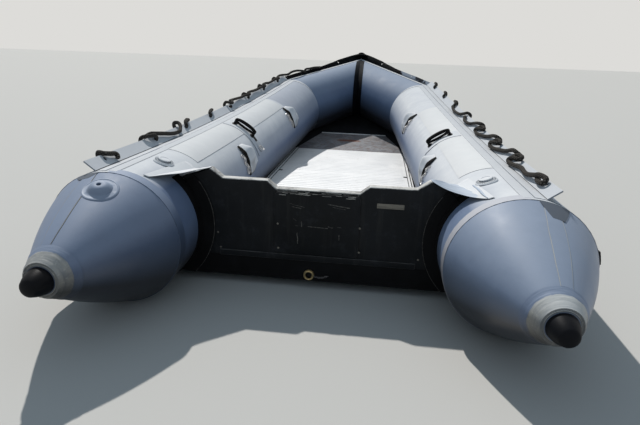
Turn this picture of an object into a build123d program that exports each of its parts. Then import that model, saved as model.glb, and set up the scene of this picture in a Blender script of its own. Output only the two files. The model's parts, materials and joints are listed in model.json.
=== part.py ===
from build123d import *
import os
from math import asin, atan2, cos, degrees, hypot, radians, sin

os.makedirs("parts", exist_ok=True)

# Inflatable boat. Design frame in millimetres: X to starboard, Y forward from the
# transom's aft face, Z up from the ground. Every piece is shifted at the end so that
# the origin is the bottom centre of the whole boat.

# Buoyancy tubes
TUBE_RADIUS = 250
TUBE_CENTRES = 1430
SHEER_START_Y = 100
KINK_Y = 2620
KINK_RISE = 190
KINK_TOE_IN = 165
NOSE_Y = 3390
NOSE_HEIGHT = 610

# Stern cones: distance aft of the seam, radius, rise of the centre
CONE_SEAM_Y = -237
CONE_SECTIONS = [(0, TUBE_RADIUS, 0), (200, 163, 13), (403, 45, 27)]
CAP_RADIUS = 43
CAP_SKIRT = 18
BAND_WIDTH = 66
BAND_THICKNESS = 3

# Everything glued to a tube stands this far off it
GLUE_GAP = 0.3
FABRIC = 1.5

# Holed side flange that carries the lifeline
FLANGE_ANGLE = 13
FLANGE_LEAN = 53
FLANGE_WIDTH = 52
FLANGE_THICKNESS = 5
FLANGE_BASE_HALF_ANGLE = 9
FLANGE_BASE = 2.5
FLANGE_AFT_Y = -215
FLANGE_HOLE_RADIUS = 9
FLANGE_HOLE_OFFSET = 30
FLANGE_END_HOLE_Y = -105
FLANGE_HOLE_Y = -25
FLANGE_HOLE_PITCH = 350
FLANGE_NOSE_TRIM = 40

# Outer rubbing strake
STRAKE_ANGLE = 78
STRAKE_HALF_ANGLE = 13
STRAKE_BASE = 4
STRAKE_RIB_HALF_ANGLE = 5
STRAKE_RIB_HEIGHT = 14
STRAKE_AFT_Y = -205

# Matte wear patch on the top of each tube
TOP_PATCH_INNER_ANGLE = -38
TOP_PATCH_AFT_Y = 222
TOP_PATCH_LENGTH = 1580

# Tape over the joint of the two bow runs
NOSE_TAPE_WIDTH = 76
NOSE_TAPE_THICKNESS = 2
NOSE_TAPE_LOW_ANGLE = -140

# Transom board: half outline as (x, z), from the notch's centre out to the tube
TRANSOM_THICKNESS = 40
TRANSOM_BOTTOM = 35
NOTCH_HALF_WIDTH = 163
NOTCH_HEIGHT = 415
SHOULDER_HEIGHT = 445
NOTCH_SLOPE_RUN = 37
HORN_HALF_WIDTH = 425
HORN_HEIGHT = 480
HORN_SLOPE_RUN = 47
TRANSOM_TOP_ANGLE = -41
COLLAR_THICKNESS = 4
COLLAR_AFT_REACH = 55
COLLAR_FORE_REACH = 50
COLLAR_LIP_HEIGHT = 46
COLLAR_LIP_THICKNESS = 6
COLLAR_TOP_ANGLE = -48
COLLAR_BOTTOM_ANGLE = -142
PAD_HALF_WIDTH = 168
PAD_BOTTOM = 152
PAD_TOP = 405
PAD_THICKNESS = 8
FLAP_TOP = 122
FLAP_THICKNESS = 3
FLAP_HALF_WIDTH = 500
BATTEN_HALF_WIDTH = 395
BATTEN_HEIGHT = 24
BATTEN_THICKNESS = 7
PLATE_CENTRE = (282, 373)
PLATE_SIZE = (104, 20)
PLATE_THICKNESS = 2
DRAIN_CENTRE = (-25, 62)
DRAIN_RADIUS = 22
DRAIN_LENGTH = 26

# Fabric web between the horn of the transom and each tube
WEB_AFT_Y = -170
WEB_AFT_ANGLE = -27
WEB_FORE_Y = 150
WEB_FORE_ANGLE = -42
WEB_THICKNESS = 2

# Floor
FLOOR_TOP = 162
BOARD_THICKNESS = 22
BOARD_GAP = 2
BOARD_ENDS = [TRANSOM_THICKNESS + 8, 705, 1368, 2190]
BOARD_RIB_PITCH = 41
BOARD_GROOVE_WIDTH = 5
BOARD_GROOVE_DEPTH = 1.6
FLOOR_CLEARANCE = 1
FLOOR_STATIONS = 80
STRINGER_WALL = 3.5
STRINGER_LIP = 22
BOW_BOARD_LENGTH = 450
BOW_BOARD_RISE = 66
BOW_BOARD_END_HALF_WIDTH = 290
BOW_BAR_SIZE = 24

# Bottom fabric: distance forward of the transom's aft face, height of the keel line,
# angle round the tube of the seam
BOTTOM_THICKNESS = 4
BOTTOM_SECTIONS = [
    (TRANSOM_THICKNESS + 7, 30, -150),
    (1150, 0, -158),
    (2050, 0, -165),
    (2600, 95, -165),
    (2950, 235, -160),
    (3260, 350, -160),
]

# Grab handles: centre along the tube, angular reach
HANDLE_Y = 1000
HANDLE_ANGLES = {"port": (-63, -17), "starboard": (-48, -17)}
HANDLE_WIDTH = 26
HANDLE_RISE = 30
HANDLE_GRIP = 9
HANDLE_LEG_ANGLE = 5
HANDLE_PATCH_MARGIN = 10
HANDLE_PATCH_WIDTH = 130

# Lashing pockets: aft edge along the tube, and how far each is turned up from the first
POCKET_AFT_YS = [720, 1790]
POCKET_TURNS = [0, 8]
POCKET_ANGLES = (-47, -86)
POCKET_APEX_ANGLE = -60
POCKET_APEX_RISE = 46
POCKET_LENGTH = 175
POCKET_FORE_ANGLES = (-62, -76)
POCKET_FORE_RISE = 4
STRAP_WIDTH = 24
STRAP_THICKNESS = 4
RING_WIRE = 3
RING_RADIUS = 17

# Inflation valves: y, angle
VALVE_Y = 34
VALVE_ANGLE = -20
VALVE_RADIUS = 42
VALVE_HEIGHT = 7
VALVE_CAP_RADIUS = 25
VALVE_CAP_HEIGHT = 8
BOSS_AFT = 94
BOSS_ANGLE = -6
BOSS_PATCH_RADIUS = 62
BOSS_DOME_RADIUS = 39
BOSS_DOME_HEIGHT = 20
BOSS_HOLE_RADIUS = 7
BOSS_HOLE_DEPTH = 14

HALF_CENTRES = TUBE_CENTRES / 2
ABOVE = Vector(0, 0, 1)
FORWARD = Vector(0, 1, 0)
STARBOARD = Vector(1, 0, 0)


class Frame:
    """A place on the tube's axis with its outboard, forward and upward directions."""

    def __init__(self, origin, out, along, up):
        self.origin = origin
        self.out = out
        self.along = along
        self.up = up

    def turned(self, origin, axis, angle):
        about = Axis((0, 0, 0), axis)
        return Frame(origin, self.out.rotate(about, angle), self.along.rotate(about, angle),
                     self.up.rotate(about, angle))

    def section(self):
        return Plane(origin=self.origin, x_dir=self.out, z_dir=-self.along)

    def radial(self, angle):
        return self.out * sin(radians(angle)) + self.up * cos(radians(angle))

    def surface(self, angle, height=0.0):
        normal = self.radial(angle)
        return Plane(origin=self.origin + normal * (TUBE_RADIUS + height), x_dir=self.along, z_dir=normal)


# The sheer is one large arc that carries the tube up and inboard to the kink
sheer_offset = hypot(KINK_RISE, KINK_TOE_IN)
sheer_run = KINK_Y - SHEER_START_Y
sheer_radius = (sheer_run ** 2 + sheer_offset ** 2) / (2 * sheer_offset)
sheer_angle = degrees(atan2(sheer_run, sheer_radius - sheer_offset))
sheer_towards = Vector(-KINK_TOE_IN, 0, KINK_RISE) / sheer_offset
sheer_axis = FORWARD.cross(sheer_towards)
straight_frame = Frame(Vector(HALF_CENTRES, SHEER_START_Y, TUBE_RADIUS), STARBOARD, FORWARD, ABOVE)
sheer_centre = straight_frame.origin + sheer_towards * sheer_radius
kink_point = Vector(HALF_CENTRES - KINK_TOE_IN, KINK_Y, TUBE_RADIUS + KINK_RISE)
kink_frame = straight_frame.turned(kink_point, sheer_axis, sheer_angle)
nose_point = Vector(0, NOSE_Y, NOSE_HEIGHT)
bow_length = (nose_point - kink_point).length
bow_direction = (nose_point - kink_point) / bow_length
kink_angle = kink_frame.along.get_angle(bow_direction)
bow_frame = kink_frame.turned(kink_point, kink_frame.along.cross(bow_direction), kink_angle)
mitre_plane = Plane(origin=kink_point, z_dir=kink_frame.along + bow_direction)
mitre_reach = TUBE_RADIUS


def frame_at(y):
    """Frame of the tube's axis at a distance forward of the transom, aft of the kink."""
    if y <= SHEER_START_Y:
        return Frame(Vector(HALF_CENTRES, y, TUBE_RADIUS), STARBOARD, FORWARD, ABOVE)
    angle = asin((y - SHEER_START_Y) / sheer_radius)
    origin = (straight_frame.origin + FORWARD * sheer_radius * sin(angle)
              + sheer_towards * sheer_radius * (1 - cos(angle)))
    return straight_frame.turned(origin, sheer_axis, degrees(angle))


def bow_frame_at(distance):
    """Frame of the bow run's axis at a distance from the kink."""
    return Frame(kink_point + bow_direction * distance, bow_frame.out, bow_frame.along, bow_frame.up)


def inboard_surface(y, height):
    """Half width that is free between the tubes at a height above the ground."""
    origin = frame_at(y).origin
    return origin.X - (TUBE_RADIUS ** 2 - (origin.Z - height) ** 2) ** 0.5


def narrowest(height):
    """Smallest free half width along the floor boards at a height."""
    run = (BOARD_ENDS[-1] - BOARD_ENDS[0]) / FLOOR_STATIONS
    return min(inboard_surface(BOARD_ENDS[0] + run * step, height) for step in range(FLOOR_STATIONS + 1))


STRINGER_OUTER = narrowest(FLOOR_TOP + GLUE_GAP + STRINGER_WALL) - FLOOR_CLEARANCE
BOARD_HALF_WIDTH = STRINGER_OUTER - STRINGER_WALL - GLUE_GAP


def at_angle(radius, angle):
    return (radius * sin(radians(angle)), radius * cos(radians(angle)))


def sector(from_angle, to_angle, inner, outer):
    """Ring sector in a tube's section, angles counted outboard from the top."""
    middle = (from_angle + to_angle) / 2
    edges = [
        ThreePointArc(at_angle(inner, from_angle), at_angle(inner, middle), at_angle(inner, to_angle)),
        Line(at_angle(inner, to_angle), at_angle(outer, to_angle)),
        ThreePointArc(at_angle(outer, to_angle), at_angle(outer, middle), at_angle(outer, from_angle)),
        Line(at_angle(outer, from_angle), at_angle(inner, from_angle)),
    ]
    return make_face(Curve() + edges)


def polygon(points):
    return make_face(Polyline(*points, close=True))


def turned_on(profile, plane):
    """Turn a half profile of radius and height about a plane's normal."""
    return plane * revolve(Plane.XZ * profile, axis=Axis.Z)


def run_aft(profile, y_from, y_to=None):
    """Carry a section along the straight and the sheer, up to y_to or to the kink's mitre."""
    pieces = []
    start = frame_at(y_from)
    if y_from < SHEER_START_Y:
        reach = min(SHEER_START_Y, y_to if y_to is not None else SHEER_START_Y) - y_from
        pieces.append(extrude(start.section() * profile, amount=reach, dir=FORWARD))
    if y_to is None or y_to > SHEER_START_Y:
        first = frame_at(max(y_from, SHEER_START_Y))
        last = kink_frame if y_to is None else frame_at(y_to)
        angle = first.along.get_angle(last.along)
        pieces.append(revolve(first.section() * profile, axis=Axis(sheer_centre, sheer_axis), revolution_arc=angle))
    if y_to is not None:
        return fused(pieces)
    pieces.append(extrude(kink_frame.section() * profile, amount=mitre_reach, dir=kink_frame.along))
    return split(fused(pieces), bisect_by=mitre_plane, keep=Keep.BOTTOM)


def run_bow(profile):
    """Carry the same section from the kink's mitre to the boat's centre plane."""
    start = bow_frame.section().offset(mitre_reach)
    body = extrude(start * profile, amount=bow_length + 3 * mitre_reach, dir=bow_direction)
    body = split(body, bisect_by=mitre_plane, keep=Keep.TOP)
    return split(body, bisect_by=Plane.YZ, keep=Keep.TOP)


def fused(pieces):
    body = pieces[0]
    for piece in pieces[1:]:
        body = body + piece
    return body


def cone_body(extra):
    """The stern cone, or a larger one around it."""
    rings = []
    for aft, radius, rise in CONE_SECTIONS:
        centre = (HALF_CENTRES, CONE_SEAM_Y - aft, TUBE_RADIUS + rise)
        rings.append(Plane(origin=centre, z_dir=(0, -1, 0)) * Circle(radius + extra))
    return loft(rings)


def cone_tip():
    aft, radius, rise = CONE_SECTIONS[-1]
    return Vector(HALF_CENTRES, CONE_SEAM_Y - aft, TUBE_RADIUS + rise)


def slab(y_from, y_to):
    """A wide block between two distances forward of the transom."""
    side = 4 * TUBE_RADIUS
    middle = (HALF_CENTRES, (y_from + y_to) / 2, TUBE_RADIUS)
    return Pos(*middle) * Box(side, y_to - y_from, side)


def tubes():
    circle = Circle(TUBE_RADIUS)
    return {"tube": run_aft(circle, CONE_SEAM_Y), "bow_tube": run_bow(circle)}


def stern_cone():
    tip = cone_tip()
    band = cone_body(GLUE_GAP + BAND_THICKNESS) - cone_body(GLUE_GAP)
    band = band & slab(tip.Y, tip.Y + BAND_WIDTH)
    outline = Curve() + [
        Line((0, 0), (CAP_RADIUS, 0)),
        Line((CAP_RADIUS, 0), (CAP_RADIUS, CAP_SKIRT)),
        CenterArc((0, CAP_SKIRT), CAP_RADIUS, 0, 90),
        Line((0, CAP_SKIRT + CAP_RADIUS), (0, 0)),
    ]
    cap = turned_on(make_face(outline), Plane(origin=tip - FORWARD * GLUE_GAP, z_dir=-FORWARD))
    return {"stern_cone": cone_body(0), "cone_band": band, "cone_cap": cap}


def flange_profile():
    inner = TUBE_RADIUS + GLUE_GAP
    base = sector(FLANGE_ANGLE - FLANGE_BASE_HALF_ANGLE, FLANGE_ANGLE + FLANGE_BASE_HALF_ANGLE,
                  inner, inner + FLANGE_BASE)
    root_x, root_z = at_angle(inner + FLANGE_BASE / 2 + FLANGE_THICKNESS / 2, FLANGE_ANGLE)
    along = (sin(radians(FLANGE_LEAN)), cos(radians(FLANGE_LEAN)))
    across = (along[1] * FLANGE_THICKNESS / 2, -along[0] * FLANGE_THICKNESS / 2)
    tip = (root_x + along[0] * FLANGE_WIDTH, root_z + along[1] * FLANGE_WIDTH)
    blade = polygon([
        (root_x + across[0], root_z + across[1]),
        (tip[0] + across[0], tip[1] + across[1]),
        (tip[0] - across[0], tip[1] - across[1]),
        (root_x - across[0], root_z - across[1]),
    ])
    return base + blade


def flange_hole(frame):
    """Cutter for one lifeline hole, square to the flange's blade."""
    inner = TUBE_RADIUS + GLUE_GAP + FLANGE_BASE / 2 + FLANGE_THICKNESS / 2
    along = frame.radial(FLANGE_LEAN)
    normal = frame.radial(FLANGE_LEAN - 90)
    centre = frame.origin + frame.radial(FLANGE_ANGLE) * inner + along * FLANGE_HOLE_OFFSET
    plane = Plane(origin=centre, z_dir=normal)
    return plane * Cylinder(FLANGE_HOLE_RADIUS, 4 * FLANGE_THICKNESS)


def side_flange():
    profile = flange_profile()
    aft = run_aft(profile, FLANGE_AFT_Y)
    bow = run_bow(profile)
    aft -= flange_hole(frame_at(FLANGE_END_HOLE_Y))
    count = int((KINK_Y - FLANGE_HOLE_Y) // FLANGE_HOLE_PITCH) + 1
    for index in range(count):
        aft -= flange_hole(frame_at(FLANGE_HOLE_Y + index * FLANGE_HOLE_PITCH))
    count = int(bow_length // FLANGE_HOLE_PITCH)
    for index in range(count):
        bow -= flange_hole(bow_frame_at((index + 0.5) * bow_length / count))
    blunt = Plane(origin=(0, bow.bounding_box().max.Y - FLANGE_NOSE_TRIM, 0), z_dir=FORWARD)
    return {"side_flange": aft, "bow_flange": split(bow, bisect_by=blunt, keep=Keep.BOTTOM)}


def rub_strake():
    inner = TUBE_RADIUS + GLUE_GAP
    outer = inner + STRAKE_BASE
    profile = sector(STRAKE_ANGLE - STRAKE_HALF_ANGLE, STRAKE_ANGLE + STRAKE_HALF_ANGLE, inner, outer)
    rib = sector(STRAKE_ANGLE - STRAKE_RIB_HALF_ANGLE, STRAKE_ANGLE + STRAKE_RIB_HALF_ANGLE,
                 outer - 1, outer + STRAKE_RIB_HEIGHT)
    return {"rub_strake": run_aft(profile + rib, STRAKE_AFT_Y), "bow_strake": run_bow(profile + rib)}


def top_patch():
    inner = TUBE_RADIUS + GLUE_GAP
    outer_angle = FLANGE_ANGLE - FLANGE_BASE_HALF_ANGLE - 0.5
    profile = sector(TOP_PATCH_INNER_ANGLE, outer_angle, inner, inner + FABRIC)
    return {"tube_top_patch": run_aft(profile, TOP_PATCH_AFT_Y, TOP_PATCH_AFT_Y + TOP_PATCH_LENGTH)}


def nose_tape():
    """Strip over the centre joint, on the inboard side of the tubes only."""
    inner = TUBE_RADIUS + GLUE_GAP
    outer_angle = FLANGE_ANGLE - FLANGE_BASE_HALF_ANGLE - 0.5
    shell = run_bow(sector(NOSE_TAPE_LOW_ANGLE, outer_angle, inner, inner + NOSE_TAPE_THICKNESS))
    reach = 6 * TUBE_RADIUS
    strip = Pos(0, NOSE_Y, NOSE_HEIGHT) * Box(NOSE_TAPE_WIDTH, reach, reach)
    half = shell & strip
    return half + mirror(half, about=Plane.YZ)


def transom_outline():
    notch_top = NOTCH_HALF_WIDTH + NOTCH_SLOPE_RUN
    shoulder_end = HORN_HALF_WIDTH - HORN_SLOPE_RUN
    inside = at_angle(TUBE_RADIUS - COLLAR_THICKNESS, TRANSOM_TOP_ANGLE)
    return [
        (0, NOTCH_HEIGHT),
        (NOTCH_HALF_WIDTH, NOTCH_HEIGHT),
        (notch_top, SHOULDER_HEIGHT),
        (shoulder_end, SHOULDER_HEIGHT),
        (HORN_HALF_WIDTH, HORN_HEIGHT),
        (HALF_CENTRES + inside[0], TUBE_RADIUS + inside[1]),
        (HALF_CENTRES - TUBE_RADIUS / 2, TRANSOM_BOTTOM),
        (0, TRANSOM_BOTTOM),
    ]


def transom_board():
    face = Plane.XZ * polygon(transom_outline())
    half = extrude(face, amount=TRANSOM_THICKNESS, dir=FORWARD)
    tube_cut = Pos(HALF_CENTRES, 0, TUBE_RADIUS) * Rot(90, 0, 0) * Cylinder(
        TUBE_RADIUS + COLLAR_THICKNESS + 2 * GLUE_GAP, 6 * TRANSOM_THICKNESS)
    half = half - tube_cut
    board = half + mirror(half, about=Plane.YZ)
    drain = Pos(DRAIN_CENTRE[0], 0, DRAIN_CENTRE[1]) * Rot(90, 0, 0) * Cylinder(
        DRAIN_RADIUS / 2 + GLUE_GAP, 6 * TRANSOM_THICKNESS)
    return board - drain


def transom_collar():
    """Rubber band round the tube with a lip against each face of the board."""
    inner = TUBE_RADIUS + GLUE_GAP
    outer = inner + COLLAR_THICKNESS
    length = COLLAR_AFT_REACH + TRANSOM_THICKNESS + COLLAR_FORE_REACH
    band = sector(COLLAR_BOTTOM_ANGLE, COLLAR_TOP_ANGLE, inner, outer)
    lip = sector(COLLAR_BOTTOM_ANGLE, COLLAR_TOP_ANGLE, outer - 1, outer + COLLAR_LIP_HEIGHT)
    body = extrude(frame_at(-COLLAR_AFT_REACH).section() * band, amount=length, dir=FORWARD)
    lip_starts = [-GLUE_GAP - COLLAR_LIP_THICKNESS, TRANSOM_THICKNESS + GLUE_GAP]
    for start in lip_starts:
        body += extrude(frame_at(start).section() * lip, amount=COLLAR_LIP_THICKNESS, dir=FORWARD)
    ground = Pos(HALF_CENTRES, 0, TRANSOM_BOTTOM - 3 * TUBE_RADIUS) * Box(
        8 * TUBE_RADIUS, 8 * TUBE_RADIUS, 6 * TUBE_RADIUS)
    return {"transom_collar": body - ground}


def face_block(half_width, bottom, top, thickness, start):
    """Flat block that lies on the transom, across the boat."""
    return Pos(0, start - thickness / 2, (bottom + top) / 2) * Box(2 * half_width, thickness, top - bottom)


def transom_fittings():
    aft = -GLUE_GAP
    lip_edge = TUBE_RADIUS + 2 * GLUE_GAP + COLLAR_THICKNESS + COLLAR_LIP_HEIGHT
    cut = Rot(90, 0, 0) * Cylinder(lip_edge, 6 * TRANSOM_THICKNESS)
    flap = face_block(FLAP_HALF_WIDTH, TRANSOM_BOTTOM, FLAP_TOP, FLAP_THICKNESS, aft)
    for side in (-1, 1):
        flap -= Pos(side * HALF_CENTRES, 0, TUBE_RADIUS) * cut
    drain = Pos(DRAIN_CENTRE[0], 0, DRAIN_CENTRE[1]) * Rot(90, 0, 0)
    flap -= drain * Cylinder(DRAIN_RADIUS / 2 + GLUE_GAP, 6 * TRANSOM_THICKNESS)
    batten = face_block(BATTEN_HALF_WIDTH, FLAP_TOP + GLUE_GAP, FLAP_TOP + BATTEN_HEIGHT, BATTEN_THICKNESS, aft)
    pad = face_block(PAD_HALF_WIDTH, PAD_BOTTOM, PAD_TOP, PAD_THICKNESS, aft)
    pad = fillet(pad.edges().filter_by(Axis.Y), PAD_THICKNESS * 2)
    plate = Pos(PLATE_CENTRE[0], aft - PLATE_THICKNESS / 2, PLATE_CENTRE[1]) * Box(
        PLATE_SIZE[0], PLATE_THICKNESS, PLATE_SIZE[1])
    head = DRAIN_LENGTH / 2
    plug = Pos(0, aft - FLAP_THICKNESS - GLUE_GAP - head / 2, 0) * Rot(90, 0, 0) * Cylinder(DRAIN_RADIUS, head)
    stem_length = FLAP_THICKNESS + TRANSOM_THICKNESS + 2 * GLUE_GAP
    plug += Pos(0, -FLAP_THICKNESS - 2 * GLUE_GAP + stem_length / 2, 0) * Rot(90, 0, 0) * Cylinder(
        DRAIN_RADIUS / 2, stem_length)
    plug = Pos(DRAIN_CENTRE[0], 0, DRAIN_CENTRE[1]) * plug
    return {"transom_flap": flap, "transom_batten": batten, "motor_pad": pad, "blank_plate": plate,
            "drain_plug": plug}


def transom_web():
    """Triangle of fabric from the transom's horn to the top of the tube."""
    lift = GLUE_GAP + 2 * WEB_THICKNESS
    horn = Vector(HORN_HALF_WIDTH, TRANSOM_THICKNESS / 2, HORN_HEIGHT + 2 * GLUE_GAP)
    aft = frame_at(WEB_AFT_Y)
    fore = frame_at(WEB_FORE_Y)
    aft_point = aft.origin + aft.radial(WEB_AFT_ANGLE) * (TUBE_RADIUS + lift)
    fore_point = fore.origin + fore.radial(WEB_FORE_ANGLE) * (TUBE_RADIUS + lift)
    face = make_face(Polyline(horn, fore_point, aft_point, close=True))
    normal = (fore_point - horn).cross(aft_point - horn).normalized()
    if normal.Z < 0:
        normal = -normal
    return {"transom_web": extrude(face, amount=WEB_THICKNESS, dir=normal)}


def floor_boards():
    pieces = {}
    middle = FLOOR_TOP - BOARD_THICKNESS / 2
    groove = Box(2 * BOARD_HALF_WIDTH - 4 * STRINGER_LIP, BOARD_GROOVE_WIDTH, 2 * BOARD_GROOVE_DEPTH)
    spans = zip(BOARD_ENDS[:-1], BOARD_ENDS[1:])
    for number, (start, end) in enumerate(spans, 1):
        length = end - start - BOARD_GAP
        board = Pos(0, start + length / 2, middle) * Box(2 * BOARD_HALF_WIDTH, length, BOARD_THICKNESS)
        count = int((length - BOARD_RIB_PITCH) // BOARD_RIB_PITCH)
        first = start + (length - (count - 1) * BOARD_RIB_PITCH) / 2
        cutters = [Pos(0, first + index * BOARD_RIB_PITCH, FLOOR_TOP) * groove for index in range(count)]
        pieces[f"floor_board_{number}"] = board - cutters
    return pieces


def bow_board():
    start = BOARD_ENDS[-1]
    slope = degrees(atan2(BOW_BOARD_RISE, BOW_BOARD_LENGTH))
    length = hypot(BOW_BOARD_RISE, BOW_BOARD_LENGTH)
    outline = polygon([
        (-BOARD_HALF_WIDTH, 0),
        (BOARD_HALF_WIDTH, 0),
        (BOW_BOARD_END_HALF_WIDTH, length),
        (-BOW_BOARD_END_HALF_WIDTH, length),
    ])
    place = Pos(0, start, FLOOR_TOP) * Rot(slope, 0, 0)
    board = place * extrude(outline, amount=-BOARD_THICKNESS)
    bar = place * Pos(0, length + GLUE_GAP + BOW_BAR_SIZE / 2, -BOW_BAR_SIZE / 2) * Box(
        2 * BOW_BOARD_END_HALF_WIDTH, BOW_BAR_SIZE, BOW_BAR_SIZE)
    return {"bow_board": board, "bow_board_bar": bar}


def stringer():
    """Channel along the floor's edge: it holds the ends of the boards."""
    length = BOARD_ENDS[-1] - BOARD_ENDS[0]
    inside = BOARD_HALF_WIDTH + GLUE_GAP
    top = FLOOR_TOP + GLUE_GAP
    bottom = FLOOR_TOP - BOARD_THICKNESS - GLUE_GAP
    profile = polygon([
        (BOARD_HALF_WIDTH - STRINGER_LIP, bottom - STRINGER_WALL),
        (STRINGER_OUTER, bottom - STRINGER_WALL),
        (STRINGER_OUTER, top + STRINGER_WALL),
        (BOARD_HALF_WIDTH - STRINGER_LIP, top + STRINGER_WALL),
        (BOARD_HALF_WIDTH - STRINGER_LIP, top),
        (inside, top),
        (inside, bottom),
        (BOARD_HALF_WIDTH - STRINGER_LIP, bottom),
    ])
    body = extrude(Plane.XZ * profile, amount=length, dir=FORWARD)
    return {"floor_stringer": Pos(0, BOARD_ENDS[0], 0) * body}


def bottom_seam(y, angle):
    """Half width and height where the bottom meets the tube, just inside its skin."""
    if y <= KINK_Y:
        frame = frame_at(y)
    else:
        frame = bow_frame_at((y - KINK_Y) / bow_direction.Y)
    point = frame.origin + frame.radial(angle) * (TUBE_RADIUS - BOTTOM_THICKNESS)
    point = point + frame.along * ((y - point.Y) / frame.along.Y)
    return point.X, point.Z


def hull_bottom(clear_tubes):
    """Vee bottom between the tubes, trimmed where it meets them."""
    rings = []
    for y, keel, angle in BOTTOM_SECTIONS:
        half_width, seam = bottom_seam(y, angle)
        points = [
            (-half_width, seam),
            (0, keel),
            (half_width, seam),
            (half_width, seam + BOTTOM_THICKNESS),
            (0, keel + BOTTOM_THICKNESS),
            (-half_width, seam + BOTTOM_THICKNESS),
        ]
        rings.append(Plane(origin=(0, y, 0), x_dir=(1, 0, 0), z_dir=(0, -1, 0)) * polygon(points))
    body = loft(rings, ruled=True)
    for tube in clear_tubes:
        body -= tube
        body -= mirror(tube, about=Plane.YZ)
    return body


def grab_handle(side):
    low, high = HANDLE_ANGLES[side]
    patch_inner = TUBE_RADIUS + 2 * GLUE_GAP + FABRIC
    patch_outer = patch_inner + FABRIC
    base = patch_outer + GLUE_GAP
    top = base + HANDLE_RISE
    grip = sector(low, high, top - HANDLE_GRIP, top)
    legs = sector(low, low + HANDLE_LEG_ANGLE, base, top) + sector(high - HANDLE_LEG_ANGLE, high, base, top)
    reach = HANDLE_WIDTH / 2
    handle = run_aft(grip + legs, HANDLE_Y - reach, HANDLE_Y + reach)
    patch_reach = HANDLE_PATCH_WIDTH / 2
    patch_face = sector(low - HANDLE_PATCH_MARGIN, high + HANDLE_PATCH_MARGIN, patch_inner, patch_outer)
    patch = run_aft(patch_face, HANDLE_Y - patch_reach, HANDLE_Y + patch_reach)
    return {"grab_handle": handle, "handle_patch": patch}


def tent(angles, apex_angle, rise, base):
    """Section of a lashing pocket: the tube's arc below, a raised fold above."""
    low, high = angles
    middle = (low + high) / 2
    apex = at_angle(base + rise, apex_angle)
    edges = [
        ThreePointArc(at_angle(base, low), at_angle(base, middle), at_angle(base, high)),
        Line(at_angle(base, high), apex),
        Line(apex, at_angle(base, low)),
    ]
    return make_face(Curve() + edges)


def lashing_pockets(clear_tube):
    """Fabric pocket, its edge strap and its ring, at each station."""
    base = TUBE_RADIUS + 2 * GLUE_GAP
    pockets = []
    straps = []
    rings = []
    for aft_y, turn in zip(POCKET_AFT_YS, POCKET_TURNS):
        low, high = (angle + turn for angle in POCKET_ANGLES)
        apex = POCKET_APEX_ANGLE + turn
        start = frame_at(aft_y)
        end = frame_at(aft_y + POCKET_LENGTH)
        fore = [angle + turn for angle in POCKET_FORE_ANGLES]
        pocket = loft([
            start.section() * tent((low, high), apex, POCKET_APEX_RISE, base),
            end.section() * tent(fore, sum(fore) / 2, POCKET_FORE_RISE, base),
        ], ruled=True)
        pockets.append(pocket - clear_tube)
        strap_face = tent((low + 1, high - 1), apex, POCKET_APEX_RISE + STRAP_THICKNESS, base)
        hollow = tent((low - 1, high + 1), apex, POCKET_APEX_RISE - STRAP_THICKNESS, base - STRAP_THICKNESS)
        strap_plane = frame_at(aft_y - GLUE_GAP).section()
        straps.append(extrude(strap_plane * (strap_face - hollow), amount=STRAP_WIDTH))
        ring_plane = frame_at(aft_y - STRAP_WIDTH / 2).surface(high - 6, RING_WIRE + 2 * GLUE_GAP)
        rings.append(ring_plane * Torus(RING_RADIUS, RING_WIRE))
    return {"lashing_pocket": pockets, "pocket_strap": straps, "pocket_ring": rings}


def tube_valve(tube):
    plane = frame_at(VALVE_Y).surface(VALVE_ANGLE)
    sink = VALVE_RADIUS / 4
    body = turned_on(polygon([
        (0, -sink),
        (VALVE_RADIUS, -sink),
        (VALVE_RADIUS, VALVE_HEIGHT / 3),
        (VALVE_RADIUS * 0.8, VALVE_HEIGHT),
        (VALVE_CAP_RADIUS, VALVE_HEIGHT),
        (VALVE_CAP_RADIUS, VALVE_HEIGHT + VALVE_CAP_HEIGHT),
        (0, VALVE_HEIGHT + VALVE_CAP_HEIGHT),
    ]), plane)
    return {"tube_valve": body - tube}


def cone_boss():
    """Moulded boss with a blind hole, square to the cone's skin."""
    cone = cone_body(0)
    centre = (HALF_CENTRES, CONE_SEAM_Y - BOSS_AFT, TUBE_RADIUS)
    out = (sin(radians(BOSS_ANGLE)), 0, cos(radians(BOSS_ANGLE)))
    point, normal = cone.find_intersection_points(Axis(centre, out))[-1]
    if normal.Z < 0:
        normal = -normal
    plane = Plane(origin=point, x_dir=(1, 0, 0), z_dir=normal)
    print("boss", point, normal)
    sink = BOSS_PATCH_RADIUS / 4
    body = turned_on(polygon([
        (0, -sink),
        (BOSS_PATCH_RADIUS, -sink),
        (BOSS_PATCH_RADIUS, 0),
        (BOSS_DOME_RADIUS, 3),
        (BOSS_DOME_RADIUS * 0.85, BOSS_DOME_HEIGHT * 0.7),
        (BOSS_DOME_RADIUS * 0.5, BOSS_DOME_HEIGHT),
        (0, BOSS_DOME_HEIGHT),
    ]), plane)
    hole = plane * Pos(0, 0, BOSS_DOME_HEIGHT - BOSS_HOLE_DEPTH / 2) * Cylinder(BOSS_HOLE_RADIUS, BOSS_HOLE_DEPTH)
    return body - hole - cone_body(GLUE_GAP)


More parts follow.
